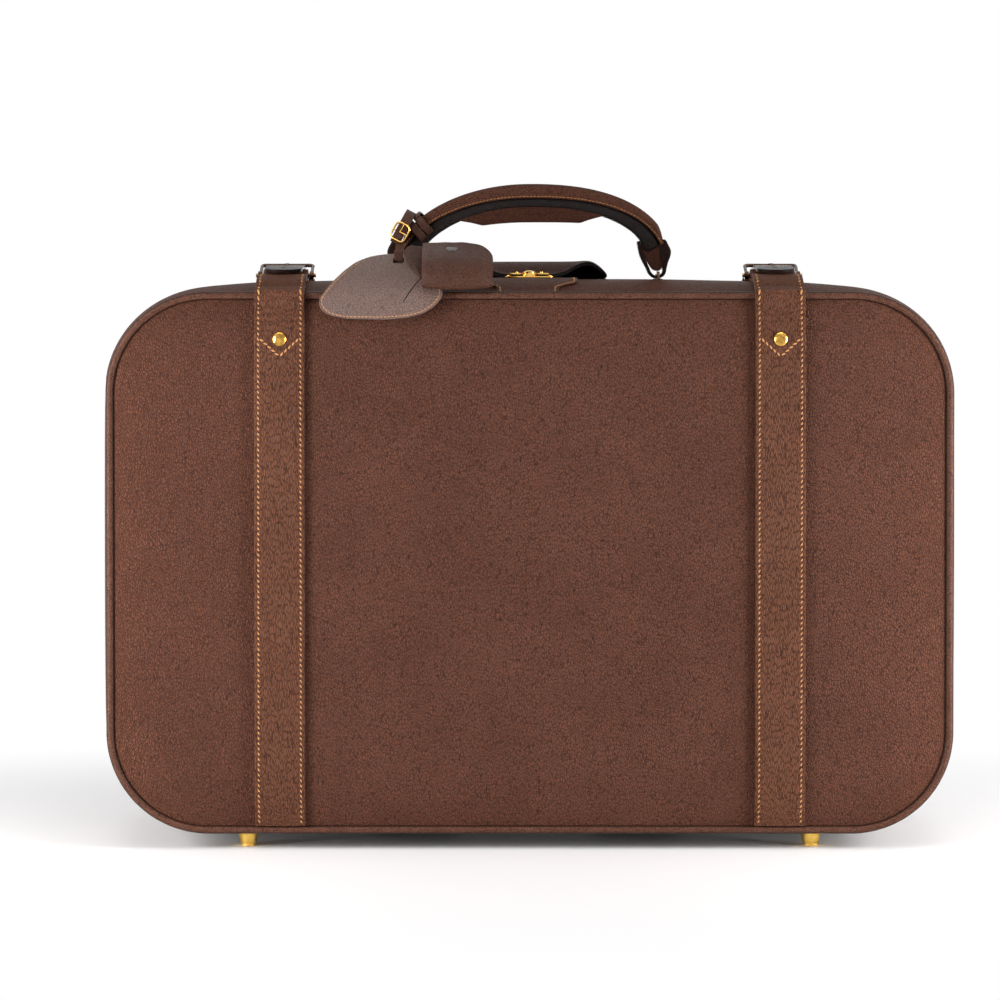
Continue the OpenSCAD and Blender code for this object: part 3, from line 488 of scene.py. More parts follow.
# %% Floor
floor_near, floor_far, floor_wide = 0.34, 0.85, 16
material, tree, shader, place = start_material(
    "white_sweep", {"Base Color": (0.86, 0.85, 0.85, 1), "Roughness": 0.6})
around = add(tree, "Mapping", {"Vector": place, "Scale": (1.0, 1.6, 1.0)}).outputs[0]
distance = add(tree, "VectorMath", {0: around}, operation="LENGTH").outputs["Value"]
paper = add(tree, "Emission")
seen = add(tree, "LightPath").outputs
seen = math_node(tree, "MAXIMUM", seen["Is Camera Ray"], seen["Is Glossy Ray"])
share = math_node(tree, "MULTIPLY", seen, ramp(tree, distance, floor_near, floor_far))
sweep = add(tree, "MixShader", {0: share, 1: shader.outputs[0], 2: paper.outputs[0]})
output = next(node for node in tree.nodes if node.type == "OUTPUT_MATERIAL")
tree.links.new(sweep.outputs[0], output.inputs["Surface"])
bpy.ops.mesh.primitive_plane_add(size=1, location=(0, 0, 0))
floor = bpy.context.active_object
floor.name = "floor"
floor.scale = (floor_wide, floor_wide, 1)
bpy.ops.object.transform_apply(location=True, rotation=True, scale=True)
floor.data.materials.append(material)

# %% [markdown]
# ## The case's own measures
# The curve of the front board and the fall of the top edge follow the same rules as the solids, so
# that a strap made here lies on them. The rest is read from the frame.

# %% Measures, in millimetres
panel_low, panel_high = box_of("front_panel")
seam_half, seam_low, seam_top = panel_high.x, panel_low.z, panel_high.z
case_top = box_of("front_gusset")[1].z
strap_from, strap_to = (corner.x for corner in box_of("front_strap_right"))
strap_x, strap_wide = (strap_from + strap_to) / 2, strap_to - strap_from
corner_radius = 66
face_y = 82
dome_height = -panel_low.y - face_y
dome_reach, dome_power = 60, 3.2
piping_radius = (box_of("front_piping")[1].z - seam_top) / 2
strap_thick = 2.8
# The top is flat between two depths and falls on a curve to its front and rear edges. The straps
# sink into it a little
edge_y, edge_fall, strap_sink = 78, 10.6, 1.626
edge_top, crown = case_top - edge_fall, case_top - strap_sink
flat_from, flat_to, top_power = -20, 44, 2.2
print("seam", round(seam_half, 1), round(seam_low, 1), round(seam_top, 1), "top", round(case_top, 2))


def dome_at(inset):
    """How far the face stands out at a distance in from its seam."""
    return dome_height * (1 - (1 - min(inset, dome_reach) / dome_reach) ** dome_power)


def strap_top_at(y):
    """Height of the top under a strap, at a depth from front (negative) to rear."""
    if y < flat_from:
        return edge_top + (crown - edge_top) * (1 - ((flat_from - y) / (flat_from + edge_y)) ** top_power)
    if y > flat_to:
        return edge_top + (crown - edge_top) * (1 - ((y - flat_to) / (edge_y - flat_to)) ** top_power)
    return crown


# %% [markdown]
# ## The two faces
# Each face is leather pulled over a slightly domed board. A plane gets its corners rounded by a
# vertex bevel, and repeated insets raise it in steps that follow the dome. Solidify gives it the
# board's thickness.

# %% Faces
board_thick = 2.6


def make_face(name, side, node):
    middle = (0, side * face_y * MM, (seam_low + seam_top) / 2 * MM)
    facing = (radians(90), 0, 0 if side < 0 else radians(180))
    bpy.ops.mesh.primitive_plane_add(size=1, location=middle, rotation=facing)
    face = bpy.context.active_object
    face.name = name
    face.scale = (2 * seam_half * MM, (seam_top - seam_low) * MM, 1)
    bpy.ops.object.transform_apply(location=True, rotation=True, scale=True)
    choose(face, "VERT", lambda place: True)
    bpy.ops.mesh.bevel(offset=corner_radius * MM, offset_type="OFFSET", segments=16,
                       affect="VERTICES")
    bpy.ops.mesh.select_mode(type="FACE")
    bpy.ops.mesh.select_all(action="SELECT")
    steps = [0, 1.2, 3, 5.5, 8.5, 12, 16.5, 22, 29, 38, 48, dome_reach]
    for nearer, further in zip(steps, steps[1:]):
        rise = dome_at(further) - dome_at(nearer)
        bpy.ops.mesh.inset(thickness=(further - nearer) * MM, depth=rise * MM, use_even_offset=True)
    close_edit()
    modify(face, "SOLIDIFY", thickness=board_thick * MM, offset=-1)
    settle(face, case_leather, "case_leather", node, angle=50)


make_face("front_face_leather", -1, "front_panel")
make_face("rear_face_leather", 1, "rear_panel")


# %% [markdown]
# ## The swelling edges
# The edge between the faces swells out past the piping. Its solid already has that form in a few
# large facets, so a copy of it is merged, its true corners are creased, and Subdivision Surface
# rounds the rest.

# %% Edges
def make_edge(name, node):
    edge = copy_of(node, name)
    choose(edge, "EDGE", lambda a, b: False)
    bpy.ops.mesh.edges_select_sharp(sharpness=radians(40))
    bpy.ops.transform.edge_crease(value=1.0)
    close_edit()
    modify(edge, "SUBSURF", levels=2, render_levels=2)
    settle(edge, edge_leather, "case_leather", node, angle=40)


make_edge("front_edge_leather", "front_gusset")
make_edge("rear_edge_leather", "rear_gusset")

# %% [markdown]
# ## Leather is cut and sewn flat, and then bent
# A saddler cuts and stitches a strap on the bench, and it takes its curves when it is fixed to the
# case. It is made the same way here: a grid lies flat with X along it and Z across it, gets its
# thickness and its rounded edges, and rows of stitches are set in it. A Curve modifier then bends all
# of it along its route. On a route drawn in a plane, the leather's Y leads out to the left of the
# way that the route runs.

# %% Flat leather
def flat_leather(name, length, width, row=4.0, columns=10):
    """Leather lying flat, in millimetres: X from 0 along it, Z across it, its back at Y 0."""
    bpy.ops.object.select_all(action="DESELECT")
    bpy.ops.mesh.primitive_grid_add(x_subdivisions=int(length / row), y_subdivisions=columns, size=1,
                                    location=(length / 2 * MM, 0, 0), rotation=(radians(90), 0, 0))
    piece = bpy.context.active_object
    piece.name = name
    piece.scale = (length * MM, width * MM, 1)
    bpy.ops.object.transform_apply(location=True, rotation=True, scale=True)
    return piece


def form(piece, rule):
    """Moves every point by a rule from its place in millimetres to a new one."""
    for point in piece.data.vertices:
        point.co = Vector(rule(*(point.co / MM))) * MM


def thicken(piece, thick, rim=0.6, segments=3):
    modify(piece, "SOLIDIFY", thickness=thick * MM, offset=-1)
    modify(piece, "BEVEL", width=rim * MM, segments=segments, limit_method="ANGLE",
           angle_limit=radians(50))


def flat_curve(points, closed=False, flat=True):
    """A smooth curve through points, drawn in its own plane. It bends pieces or is an outline."""
    bpy.ops.object.select_all(action="DESELECT")
    bpy.ops.curve.primitive_bezier_curve_add(location=(0, 0, 0))
    curve = bpy.context.active_object
    curve.data.dimensions = "2D" if flat else "3D"
    curve.data.resolution_u = 16 if flat else 8
    spline = curve.data.splines[0]
    spline.bezier_points.add(len(points) - 2)
    spline.use_cyclic_u = closed
    for knot, (first, second) in zip(spline.bezier_points, points):
        knot.co = (first * MM, second * MM, 0)
        knot.handle_left_type = knot.handle_right_type = "AUTO"
    return curve


def length_of(curve):
    return curve.data.splines[0].calc_length() / MM


def bend(pieces, route, place):
    """Bends flat pieces along a route and puts them at their place."""
    curve = flat_curve(route)
    for piece in pieces:
        modify(piece, "CURVE", object=curve, deform_axis="POS_X")
        piece.data.transform(place)
    bpy.data.objects.remove(curve)


def route_length(route):
    curve = flat_curve(route)
    length = length_of(curve)
    bpy.data.objects.remove(curve)
    return length


def over_case(x):
    """The place of a route drawn as depth and height, at a distance across the case."""
    return moved(x, 0, 0) @ FROM_THE_SIDE


# Routes are drawn as depth and height, or as distance across and height, as the handle's arch is
FROM_THE_SIDE = Matrix(((0, 0, 1, 0), (1, 0, 0, 0), (0, 1, 0, 0), (0, 0, 0, 1)))
IN_ARCH = Matrix(((1, 0, 0, 0), (0, 0, -1, 0), (0, 1, 0, 0), (0, 0, 0, 1)))


def mirrored(piece, name):
    """A copy of a finished mesh on the other side, turned right side out."""
    twin = piece.copy()
    twin.data = piece.data.copy()
    twin.name = name
    bpy.context.scene.collection.objects.link(twin)
    twin.data.transform(Matrix.Diagonal((-1, 1, 1, 1)))
    twin.data.flip_normals()
    return twin


# %% [markdown]
# ## Cutting to an outline
# A tag or a filler is cut to an outline. Starting from the outline, each further ring of faces is
# extruded and scaled towards the middle, which keeps the faces even, so the piece bends smoothly.

# %% Cutting to an outline
RINGS = (0.985, 0.95, 0.88, 0.78, 0.65, 0.5, 0.34, 0.17)


def cut_leather(name, outline, middle):
    """Flat leather cut to a smooth outline given as along and across, its back at Y 0."""
    piece = flat_curve([(along, -across) for along, across in outline], closed=True, flat=False)
    piece.name = name
    only(piece)
    bpy.ops.object.convert(target="MESH")
    piece = bpy.context.active_object
    piece.data.transform(turned(-90, "X"))
    choose(piece, "EDGE", lambda a, b: True)
    centre = metres(middle[0], 0, middle[1])
    last = 1.0
    for share in RINGS:
        bpy.ops.mesh.extrude_edges_move()
        bpy.ops.transform.resize(value=(share / last,) * 3, center_override=centre)
        last = share
    bpy.ops.mesh.merge(type="CENTER")
    bpy.ops.mesh.select_all(action="SELECT")
    bpy.ops.mesh.normals_make_consistent(inside=False)
    close_edit()
    if sum(face.normal.y for face in piece.data.polygons) > 0:
        piece.data.flip_normals()
    return piece


def towards(point, middle, distance):
    gone = math.dist(point, middle)
    return tuple(p + (m - p) * distance / gone for p, m in zip(point, middle))


# %% [markdown]
# ## Stitches
# One stitch is a small slanted bead of thread. Array repeats it and a Curve modifier sets the row
# along its line, still on the flat leather.

# %% Stitches
stitch_pitch = 3.7
strap_stitch = (3.1, 1.35, 1.0)
stitch_count = 0


def stitch_row(name, points, height, slant=-20, size=strap_stitch, on_wall=False):
    """A row of stitches along points given as along and across, or along and up on a wall."""
    global stitch_count
    curve = flat_curve([(along, second if on_wall else -second) for along, second in points])
    run = length_of(curve)
    count = max(1, round(run / stitch_pitch * strap_stitch[0] / size[0]))
    bpy.ops.object.select_all(action="DESELECT")
    bpy.ops.mesh.primitive_uv_sphere_add(segments=8, ring_count=5, radius=0.5)
    stitch = bpy.context.active_object
    stitch.name = name
    stitch.data.transform(turned(90, "Y"))
    stitch.data.transform(Matrix.Diagonal((size[0] * MM, size[1] * MM, size[2] * MM, 1)))
    stitch.data.transform(turned(slant, "Z"))
    stitch.data.transform(moved(run / count / 2, 0, height))
    modify(stitch, "ARRAY", count=count, use_relative_offset=False, use_constant_offset=True,
           constant_offset_displace=(run / count * MM, 0, 0))
    modify(stitch, "CURVE", object=curve, deform_axis="POS_X")
    if not on_wall:
        stitch.data.transform(turned(-90, "X"))
    bpy.data.objects.remove(curve)
    stitch_count += count
    return stitch


def finish_thread(piece, node, slot):
    """Gives threads the body of the leather that they are sewn into."""
    settle(piece, thread, slot, angle=80, body=home[node])


# %% [markdown]
# ## The straps
# Each front strap comes from under the case, up the face, over the piping and along the top. There
# it climbs over its own folded end, turns round the buckle's bar and comes back under itself. The
# folded end is held by the V of stitches below the stud.

# %% Routes of the straps
bar_y, bar_z = -5.0, middle_of("buckle_bars").z
lift = 0.12
wrap_radius = piping_radius + 0.3 + lift
piping_y = face_y - 1


def face_route():
    up = [(-face_y - dome_at(d) - lift, seam_low + d) for d in (0.5, 4, 10, 19, 36, 60)]
    straight = [(-face_y - dome_height - lift, z) for z in range(110, 325, 40)]
    over = [(-face_y - dome_at(d) - lift, seam_top - d) for d in (60, 36, 19, 10, 5)]
    round_piping = [(-piping_y + wrap_radius * math.cos(radians(a)),
                     seam_top + piping_radius + wrap_radius * math.sin(radians(a)))
                    for a in (180, 150, 120, 95)]
    return up + straight + over + round_piping


front_route = face_route() + [
    (-73.5, strap_top_at(-73) + 1.9), (-67, strap_top_at(-67) + 4.4), (-59, strap_top_at(-59) + 5.3),
    (-51, strap_top_at(-51) + 5.0), (-42, strap_top_at(-42) + strap_thick + 1.4),
    (-32, strap_top_at(-32) + strap_thick + 0.5), (-20, strap_top_at(-20) + strap_thick + lift),
    (-12, strap_top_at(-12) + strap_thick + 0.3), (-8, bar_z + 1.2),
]
front_route += [(bar_y + 1.75 * math.cos(radians(a)), bar_z + 1.75 * math.sin(radians(a)))
                for a in (90, 30, -30, -90)]
front_route += [(y, strap_top_at(y) + strap_thick) for y in (-14, -30, -44, -56, -62)]
rear_route = face_route() + [(-66, strap_top_at(66) + lift), (-56, strap_top_at(56) + lift),
                             (-48, strap_top_at(48) + lift)]

# %% Front and rear straps
strap_half = strap_wide / 2 + 1.4
stitch_in = 2.9
groove_deep, groove_wide = 0.4, 0.9
fold_length = 76
# Along the strap, counted from where its fold begins
slot_from, slot_to, slot_half = -3, 30, 3
narrow_from, narrow_to = -34, -14
sewn_up_to = -12
# The V of stitches points down, and its point lies this far below the seam
point_below_seam, point_deep = 39, 12


def sew_strap(name, route, doubled):
    """The right strap of a face, bent and with its threads. A doubled one turns round the bar."""
    length = route_length(route)
    strap = flat_leather(name, length, 2 * strap_half, columns=16)
    folded = length - fold_length
    if doubled:
        choose(strap, "FACE", lambda place, way: abs(place.z) < slot_half * MM and
               slot_from < place.x / MM - folded < slot_to)
        bpy.ops.mesh.delete(type="FACE")
        close_edit()
    thicken(strap, strap_thick, rim=0.7)

    def worked(x, y, z):
        """The thread pulls a groove, and the strap narrows to pass between the buckle's eyes."""
        from_row = abs(z) - strap_half + stitch_in
        groove = 0 if y < strap_thick / 2 else groove_deep * math.exp(-(from_row / groove_wide) ** 2)
        narrowed = (x - folded - narrow_from) / (narrow_to - narrow_from) if doubled else 0
        drawn = min(max(narrowed, 0), 1) * (1 - strap_wide / 2 / strap_half)
        return (x, y - groove, z * (1 - drawn))

    sewn_to = folded + sewn_up_to if doubled else length - 2
    row = strap_half - stitch_in
    rows = [[(2, side * row), (sewn_to, side * row)] for side in (-1, 1)]
    if doubled:
        point = seam_top - seam_low - point_below_seam
        rows.append([(point + point_deep, -row + 1), (point, -0.4)])
        rows.append([(point, 0.4), (point + point_deep, row - 1)])
    threads = join(name + "_thread", [stitch_row("row", line, strap_thick - 0.15) for line in rows])
    for piece in (strap, threads):
        form(piece, worked)
    bend([strap, threads], route, over_case(strap_x))
    smooth(strap, 35)
    if not doubled:
        for piece in (strap, threads):
            piece.data.transform(Matrix.Diagonal((1, -1, 1, 1)))
            piece.data.flip_normals()
    return strap, threads


for word, route in (("front", front_route), ("rear", rear_route)):
    node = word + "_strap_right"
    strap, threads = sew_strap(node + "_leather", route, word == "front")
    left_strap = mirrored(strap, word + "_strap_left_leather")
    left_threads = mirrored(threads, word + "_strap_left_leather_thread")
    settle(strap, strap_leather, "strap_leather", node)
    settle(left_strap, strap_leather, "strap_leather", word + "_strap_left")
    for threads in (threads, left_threads):
        finish_thread(threads, node, "strap_leather")
print("stitches so far:", stitch_count)

# %% [markdown]
# ## The billets
# The rear straps end in dark, glossy, round-tipped billets that pass under the buckle's frame and over its
# bar. Their rows of faces follow the round tip, and the holes are cut with Boolean while the leather is
# flat. A billet bends at its root when it is flipped back; here it is only left in place, with no body.

# %% Cutting holes
cutter_deep = 20


def cut_out(piece, along, across, size=None, radius=None):
    """Cuts a hole through flat leather: a slot of a size along and across, or a round one."""
    bpy.ops.object.select_all(action="DESELECT")
    place = metres(along, 0, across)
    if radius:
        bpy.ops.mesh.primitive_cylinder_add(vertices=20, radius=radius * MM, depth=cutter_deep * MM,
                                            location=place, rotation=(radians(90), 0, 0))
    else:
        bpy.ops.mesh.primitive_cube_add(size=1, location=place)
        bpy.context.active_object.scale = metres(size[0], cutter_deep, size[1])
    cutter = bpy.context.active_object
    bpy.ops.object.transform_apply(location=True, rotation=True, scale=True)
    modify(piece, "BOOLEAN", object=cutter, operation="DIFFERENCE", solver="EXACT")
    bpy.data.objects.remove(cutter)


def round_end(length, half, corner):
    """A rule that draws the far end of flat leather in to a round tip or to rounded corners."""
    def rule(x, y, z):
        out = max(0, abs(z) - (half - corner))
        reach = length - corner + math.sqrt(max(corner ** 2 - out ** 2, 0))
        start = length * 0.6
        return (x if x < start else start + (x - start) * (reach - start) / (length - start), y, z)
    return rule


def crowd_edges(half, power=1.7):
    """A rule that moves columns towards both edges, where a curve needs them."""
    return lambda x, y, z: (x, y, math.copysign(half * (1 - (1 - min(abs(z) / half, 1)) ** power), z))


# %% Billets
billet_half, billet_thick = 13.5, 2.6
billet_holes, hole_radius = (34, 88, 106), 1.7
billet_slot, billet_slot_size = 76.9, (14, 3.6)
billet_root, billet_bent = (72, 399), (58, 402.5)
billet_route = [billet_root, (66, 400.4), (56, 402.9), (48, 403.9), (38, 404.6), (30, 405.7), (17, 407.5),
                (8, 409.1), (-5, 409.6), (-20, 409.2), (-33, 408.3), (-43, 407.4), (-53, 406.6)]
billet_length = route_length(billet_route)
billet = flat_leather("billet_right_leather", billet_length, 2 * billet_half, row=2.5, columns=16)
form(billet, crowd_edges(billet_half))
form(billet, round_end(billet_length, billet_half, billet_half - 0.1))
thicken(billet, billet_thick, rim=0.9)
# The route runs forward, so its left is below, and the leather is laid on the other side
form(billet, lambda x, y, z: (x, -y, z))
billet.data.flip_normals()
for along in billet_holes:
    cut_out(billet, along, 0, radius=hole_radius)
cut_out(billet, billet_slot, 0, size=billet_slot_size)
bend([billet], billet_route, over_case(strap_x))
smooth(billet, 40)
left_billet = mirrored(billet, "billet_left_leather")
for piece, node, x in ((left_billet, "billet_left", -strap_x), (billet, "billet_right", strap_x)):
    settle(piece, dark_leather, "dark_leather", node,
           bends=("lid", home[node], metres(x, *billet_root), metres(x, *billet_bent)))

# %% [markdown]
# ## The handle
# A brown cover is stitched over a body of painted leather, with a pad below its middle. All three
# are flat bars that are bent into the arch. The cover thins towards its ends.

# %% The arch
handle_base = case_top + 3
arch_height = 55.7


def arch(angle):
    """The line between cover and body. The leather has sagged fuller to the right of the middle."""
    c, s = math.cos(radians(angle)), math.sin(radians(angle))
    half, fullness = (99, 0.8) if c > 0 else (96, 1)
    return (math.copysign(half * abs(c) ** fullness, c), handle_base + arch_height * s ** fullness)


cover_route = [arch(angle) for angle in range(162, 15, -6)]
cover_length = route_length(cover_route)
cover_half, cover_thick = 12.0, 10
body_wide, body_thick = 22.4, 7


def swell(x):
    """0 at both ends of the arch and 1 at its top."""
    return math.sin(math.pi * min(max(x / cover_length, 0), 1)) ** 0.8


def drawn_in(x, z):
    return z * (0.84 + 0.16 * swell(x))


def dying_away(x):
    """1 along the handle, falling over its last centimetre, where it ends on the loops."""
    return 0.45 + 0.55 * min(min(x, cover_length - x) / 12, 1)


def along_rim(a, b):
    """True for an edge that runs along the cover, at one of its rims."""
    return min(abs(a.z), abs(b.z)) > (cover_half - 0.1) * MM and abs(a.x - b.x) > MM


cover = flat_leather("handle_cover_leather", cover_length, 2 * cover_half, row=3.0, columns=8)
modify(cover, "SOLIDIFY", thickness=cover_thick * MM, offset=-1)
choose(cover, "EDGE", lambda a, b: along_rim(a, b) and min(a.y, b.y) > (cover_thick - 0.1) * MM)
bpy.ops.mesh.bevel(offset=4.6 * MM, segments=6, profile=0.55, affect="EDGES")
close_edit()
choose(cover, "EDGE", lambda a, b: along_rim(a, b) and max(a.y, b.y) < 0.1 * MM)
bpy.ops.mesh.bevel(offset=0.7 * MM, segments=2, affect="EDGES")
close_edit()
form(cover, lambda x, y, z: (x, y * (0.55 + 0.48 * swell(x)) * dying_away(x), drawn_in(x, z)))
thread_line = [(x, 1.3) for x in (1, 30, 60, 90, 120, 150, 180, cover_length - 1)]
cover_threads = join("handle_cover_thread", [
    stitch_row("row", thread_line, side * (cover_half - 0.02), slant=side * 8, size=(2.2, 0.36, 0.4),
               on_wall=True)
    for side in (-1, 1)])
form(cover_threads, lambda x, y, z: (x, y, drawn_in(x, z)))
body = flat_leather("handle_body_leather", cover_length, body_wide, row=3.0, columns=8)
thicken(body, body_thick, rim=2.2, segments=4)
form(body, lambda x, y, z: (x, (y - body_thick) * (1.72 - 0.79 * swell(x)) - 0.05, drawn_in(x, z)))

# %% Pad
# The pad fills the hollow below the body: deepest in its middle, cut slanting at both ends
pad_length, pad_wide, pad_start = 113.6, 20.4, cover_length / 2 - 57.5
pad_below, pad_deep, pad_shallower = 6.2, 11.2, 3.4
# The slanting ends begin at a share of the half length, at a depth, and run out over a share
slant_from, slant_deep, slant_run = 0.68, 9.6, 0.34
pad = flat_leather("handle_pad_leather", pad_length, pad_wide, row=2.5, columns=6)
thicken(pad, 1, rim=0.3, segments=1)


def fill_hollow(x, y, z):
    from_middle = abs(x - pad_length / 2) / (pad_length / 2)
    if from_middle < slant_from:
        deep = pad_deep - pad_shallower * from_middle ** 2
    else:
        deep = slant_deep * (1 - (from_middle - slant_from) / slant_run)
    return (pad_start + x, -pad_below - (1 - y) * max(deep, 0.4), z)


form(pad, fill_hollow)
modify(pad, "BEVEL", width=1.5 * MM, segments=3, limit_method="ANGLE", angle_limit=radians(50))
bend([cover, cover_threads, body, pad], cover_route, IN_ARCH)
settle(cover, handle_leather, "strap_leather", "handle_grip", angle=50)
finish_thread(cover_threads, "handle_grip", "strap_leather")
settle(body, edge_paint, "edge_paint", "handle_core", "handle_grip", angle=50)
settle(pad, pad_leather, "dark_leather", "handle_pad", angle=50)

# %% [markdown]
# ## The handle's ends
# At each end a strip of black leather goes down round the staple and up again, like a teardrop, with a
# red-brown filler between its sides. They are left in place, with no body, so they don't follow the handle
# when it leans.

# %% Loops and fillers
staple_from, staple_to = (corner.x for corner in box_of("handle_staples"))
staple_x = (staple_to - staple_from) / 2 - 3.2
drop = [(1.6, 29), (1.6, 21), (2.3, 14), (3.0, 8.5), (2.9, 4.9), (0.6, 3.0), (-2.4, 3.0), (-4.9, 5.2),
        (-6.6, 9), (-9.0, 15), (-11.0, 21), (-13.0, 28)]
loop_route = [(staple_x + x, case_top + z) for x, z in drop]
loop_foot, loop_top = case_top + 3, case_top + 26
loop_length = route_length(loop_route)
loop_leather = flat_leather("handle_loop_right_leather", loop_length, 17, row=1.2, columns=6)
thicken(loop_leather, 3, rim=1.0)


def fuller(x, where):
    """A smooth swelling round a place along the loop, dying away over 9 mm."""
    return math.exp(-((x - where) / 9) ** 2)


# The outer side is the fuller one, and the leather is thin where it turns round the bar
form(loop_leather, lambda x, y, z: (
    x, y * (0.72 + 1.85 * fuller(x, 9.5) + 0.4 * fuller(x, loop_length - 10)), z))
bend([loop_leather], loop_route, IN_ARCH)
smooth(loop_leather, 60)


def settle_both(piece, left_name, material, node):
    """Settles a piece and its twin, which would bend between the case and the handle, but are left in place
    with no body.
    """
    for side in (piece, mirrored(piece, left_name)):
        settle(side, material, "dark_leather", node,
               bends=("front_half", "handle", metres(0, 0, loop_foot), metres(0, 0, loop_top)))


settle_both(loop_leather, "handle_loop_left_leather", dark_leather, "handle_loops")
filler_wide = 15
filler_outline = [(1.5, 26), (1.5, 20), (2.1, 14), (2.7, 9.5), (1.6, 6.9), (-1.0, 6.1), (-3.8, 7.2),
                  (-6.2, 10.4), (-8.6, 15), (-10.7, 21), (-12.2, 26), (-5, 28)]
filler = cut_leather("handle_filler_right_leather", filler_outline, (-4.0, 17))
thicken(filler, filler_wide, rim=1.2)
filler.data.transform(moved(staple_x, -filler_wide / 2, case_top))
smooth(filler, 60)
settle_both(filler, "handle_filler_left_leather", pad_leather, "handle_fillers")

# %% [markdown]
# ## The tag's strap
# A narrow strap winds twice round the handle's left leg and goes through a small brass buckle. Its tail
# hangs down behind the tag and comes up through it; it is left in place, with no body.

# %% Turns round the leg
tag_strap_thick, tag_strap_out = 1.5, 1.55
leg_middle = Vector((-79.05, 0, handle_base + 34.4))
leg_out = Vector((-0.664, 0, 0.748))
leg_along = Vector((0.748, 0, 0.664))
round_leg = Matrix(((0, leg_out.x, leg_along.x, 0), (1, leg_out.y, leg_along.y, 0),
                    (0, leg_out.z, leg_along.z, 0), (0, 0, 0, 1)))


def round_box(half_a, half_b, angle):
    """A point of a rounded rectangle, seen from its middle at an angle."""
    c, s = math.cos(radians(angle)), math.sin(radians(angle))
    return (math.copysign(half_a * abs(c) ** 0.5, c), math.copysign(half_b * abs(s) ** 0.5, s))


turn_route = [round_box(12.3, 8.0, angle) for angle in range(150, -211, -15)]
turn_length = route_length(turn_route)
turns = []
for offset, tilt in ((-4.6, 7), (4.4, -5)):
    turn = flat_leather("turn", turn_length, 5.6, row=1.5, columns=4)
    thicken(turn, tag_strap_thick, rim=0.4)
    place = Matrix.Translation((leg_middle + leg_along * offset) * MM)
    bend([turn], turn_route, place @ turned(tilt, leg_out) @ round_leg)
    turns.append(turn)
end_route = [(-6, 452), (-11.5, 449), (-15.2, 444.5), (-16.4, 438.5), (-16, 432.5), (-14.6, 427.5)]
strap_end = flat_leather("end", route_length(end_route), 7.4, row=1.2, columns=4)
thicken(strap_end, tag_strap_thick, rim=0.4)
strap_end.data.transform(moved(0, -tag_strap_out, 0))
bend([strap_end], end_route, over_case(0))
buckle_turn = turned(28, "Y")
buckle_middle = middle_of("tag_strap_buckle")
strap_end.data.transform(moved(buckle_middle.x, 0, buckle_middle.z) @ buckle_turn
                         @ moved(0, 0, -buckle_middle.z))
turns = join("tag_strap_leather", turns + [strap_end])
settle(turns, key_leather, "strap_leather", "tag_strap", angle=50)

# %% Tail
tail_x = middle_of("tag_strap_tail").x
tail_route = [(-14.3, 428.2), (-20, 424.6), (-29, 420.3), (-38, 417.6), (-46.4, 413.6), (-52, 411.0),
              (-57, 409.9), (-60.8, 410.8), (-62.6, 414.4), (-63, 418.4), (-63.8, 422.6)]
tail = flat_leather("tag_strap_tail_leather", route_length(tail_route), 6.4, row=1.5, columns=4)
thicken(tail, tag_strap_thick, rim=0.4)
tail.data.transform(moved(0, -tag_strap_out, 0))
bend([tail], tail_route, over_case(tail_x))
settle(tail, key_leather, "strap_leather", "tag_strap_tail", angle=50,
       bends=("handle", "front_half", metres(tail_x, *tail_route[0]), metres(tail_x, *tail_route[5])))


# %% [markdown]
# ## Wire work
# The small buckle is bent from round wire: a closed curve with a bevel depth gives the frame, and
# two short ones the bar and the tongue.

# %% Small buckle
def wire(points, thickness, closed=False):
    """Round wire along points given across and up, as a mesh standing in X and Z."""
    curve = flat_curve(points, closed, flat=False)
    curve.data.bevel_depth = thickness / 2 * MM
    curve.data.bevel_resolution = 3
    curve.data.use_fill_caps = True
    only(curve)
    bpy.ops.object.convert(target="MESH")
    piece = bpy.context.active_object
    piece.data.transform(turned(90, "X"))
    return piece


frame_wire = wire([round_box(5.6, 6.4, angle) for angle in range(0, 360, 15)], 1.5, closed=True)
bar_wire = wire([(-5.6, 0), (0, 0), (5.6, 0)], 1.2)
tongue_wire = wire([(0, 0.3), (0.2, 3.4), (0, 6.9)], 1.1)
tongue_wire.data.transform(moved(0, -0.9, 0))
small_buckle = join("tag_strap_buckle_wire", [frame_wire, bar_wire, tongue_wire])
small_buckle.data.transform(moved(buckle_middle.x, -17.6, buckle_middle.z)
                            @ buckle_turn @ turned(-12, "Z"))
settle(small_buckle, brass, "brass", "tag_strap_buckle", angle=60)

# %% [markdown]
# ## The luggage tag
# Two leaves are cut to one outline, a rounded fin that bends over the edge of the case. The front
# leaf has a slit for the address card.

# %% Tag
tag_x = -105
tag_route = [(-93, 374.6), (-92.2, 380.2), (-90.4, 386.4), (-87.4, 393), (-83, 398.6), (-77.2, 403.8),
             (-70, 409.2), (-63, 414.4), (-56.5, 418.6)]
tag_length = route_length(tag_route)
tag_rows = [(-1, 14), (-16, 23), (-24, 30.5), (-30, 36.5), (-35, 41), (-39.5, 43.5), (-43, 40.5), (-40, 33)]
downs = [0]
for first, second in zip(tag_route[::-1], tag_route[-2::-1]):
    downs.append(downs[-1] + math.dist(first, second))
left_side = [(tag_length - down, row[0]) for down, row in zip(downs, tag_rows)]
right_side = [(tag_length - down, row[1]) for down, row in zip(downs, tag_rows)]
foot_line = [(1.5, -30), (0, -12), (0, 8), (2.2, 24)]
tag_outline = left_side + foot_line + right_side[::-1]
tag_middle = (tag_length * 0.42, 2)
tag_thick = 1.6
tag_leather_front = cut_leather("tag_front_leather", tag_outline, tag_middle)
thicken(tag_leather_front, tag_thick, rim=0.5)
tag_leather_back = tag_leather_front.copy()
tag_leather_back.data = tag_leather_front.data.copy()
tag_leather_back.name = "tag_back_leather"
bpy.context.scene.collection.objects.link(tag_leather_back)
tag_leather_back.data.transform(moved(0, -tag_thick, 0))
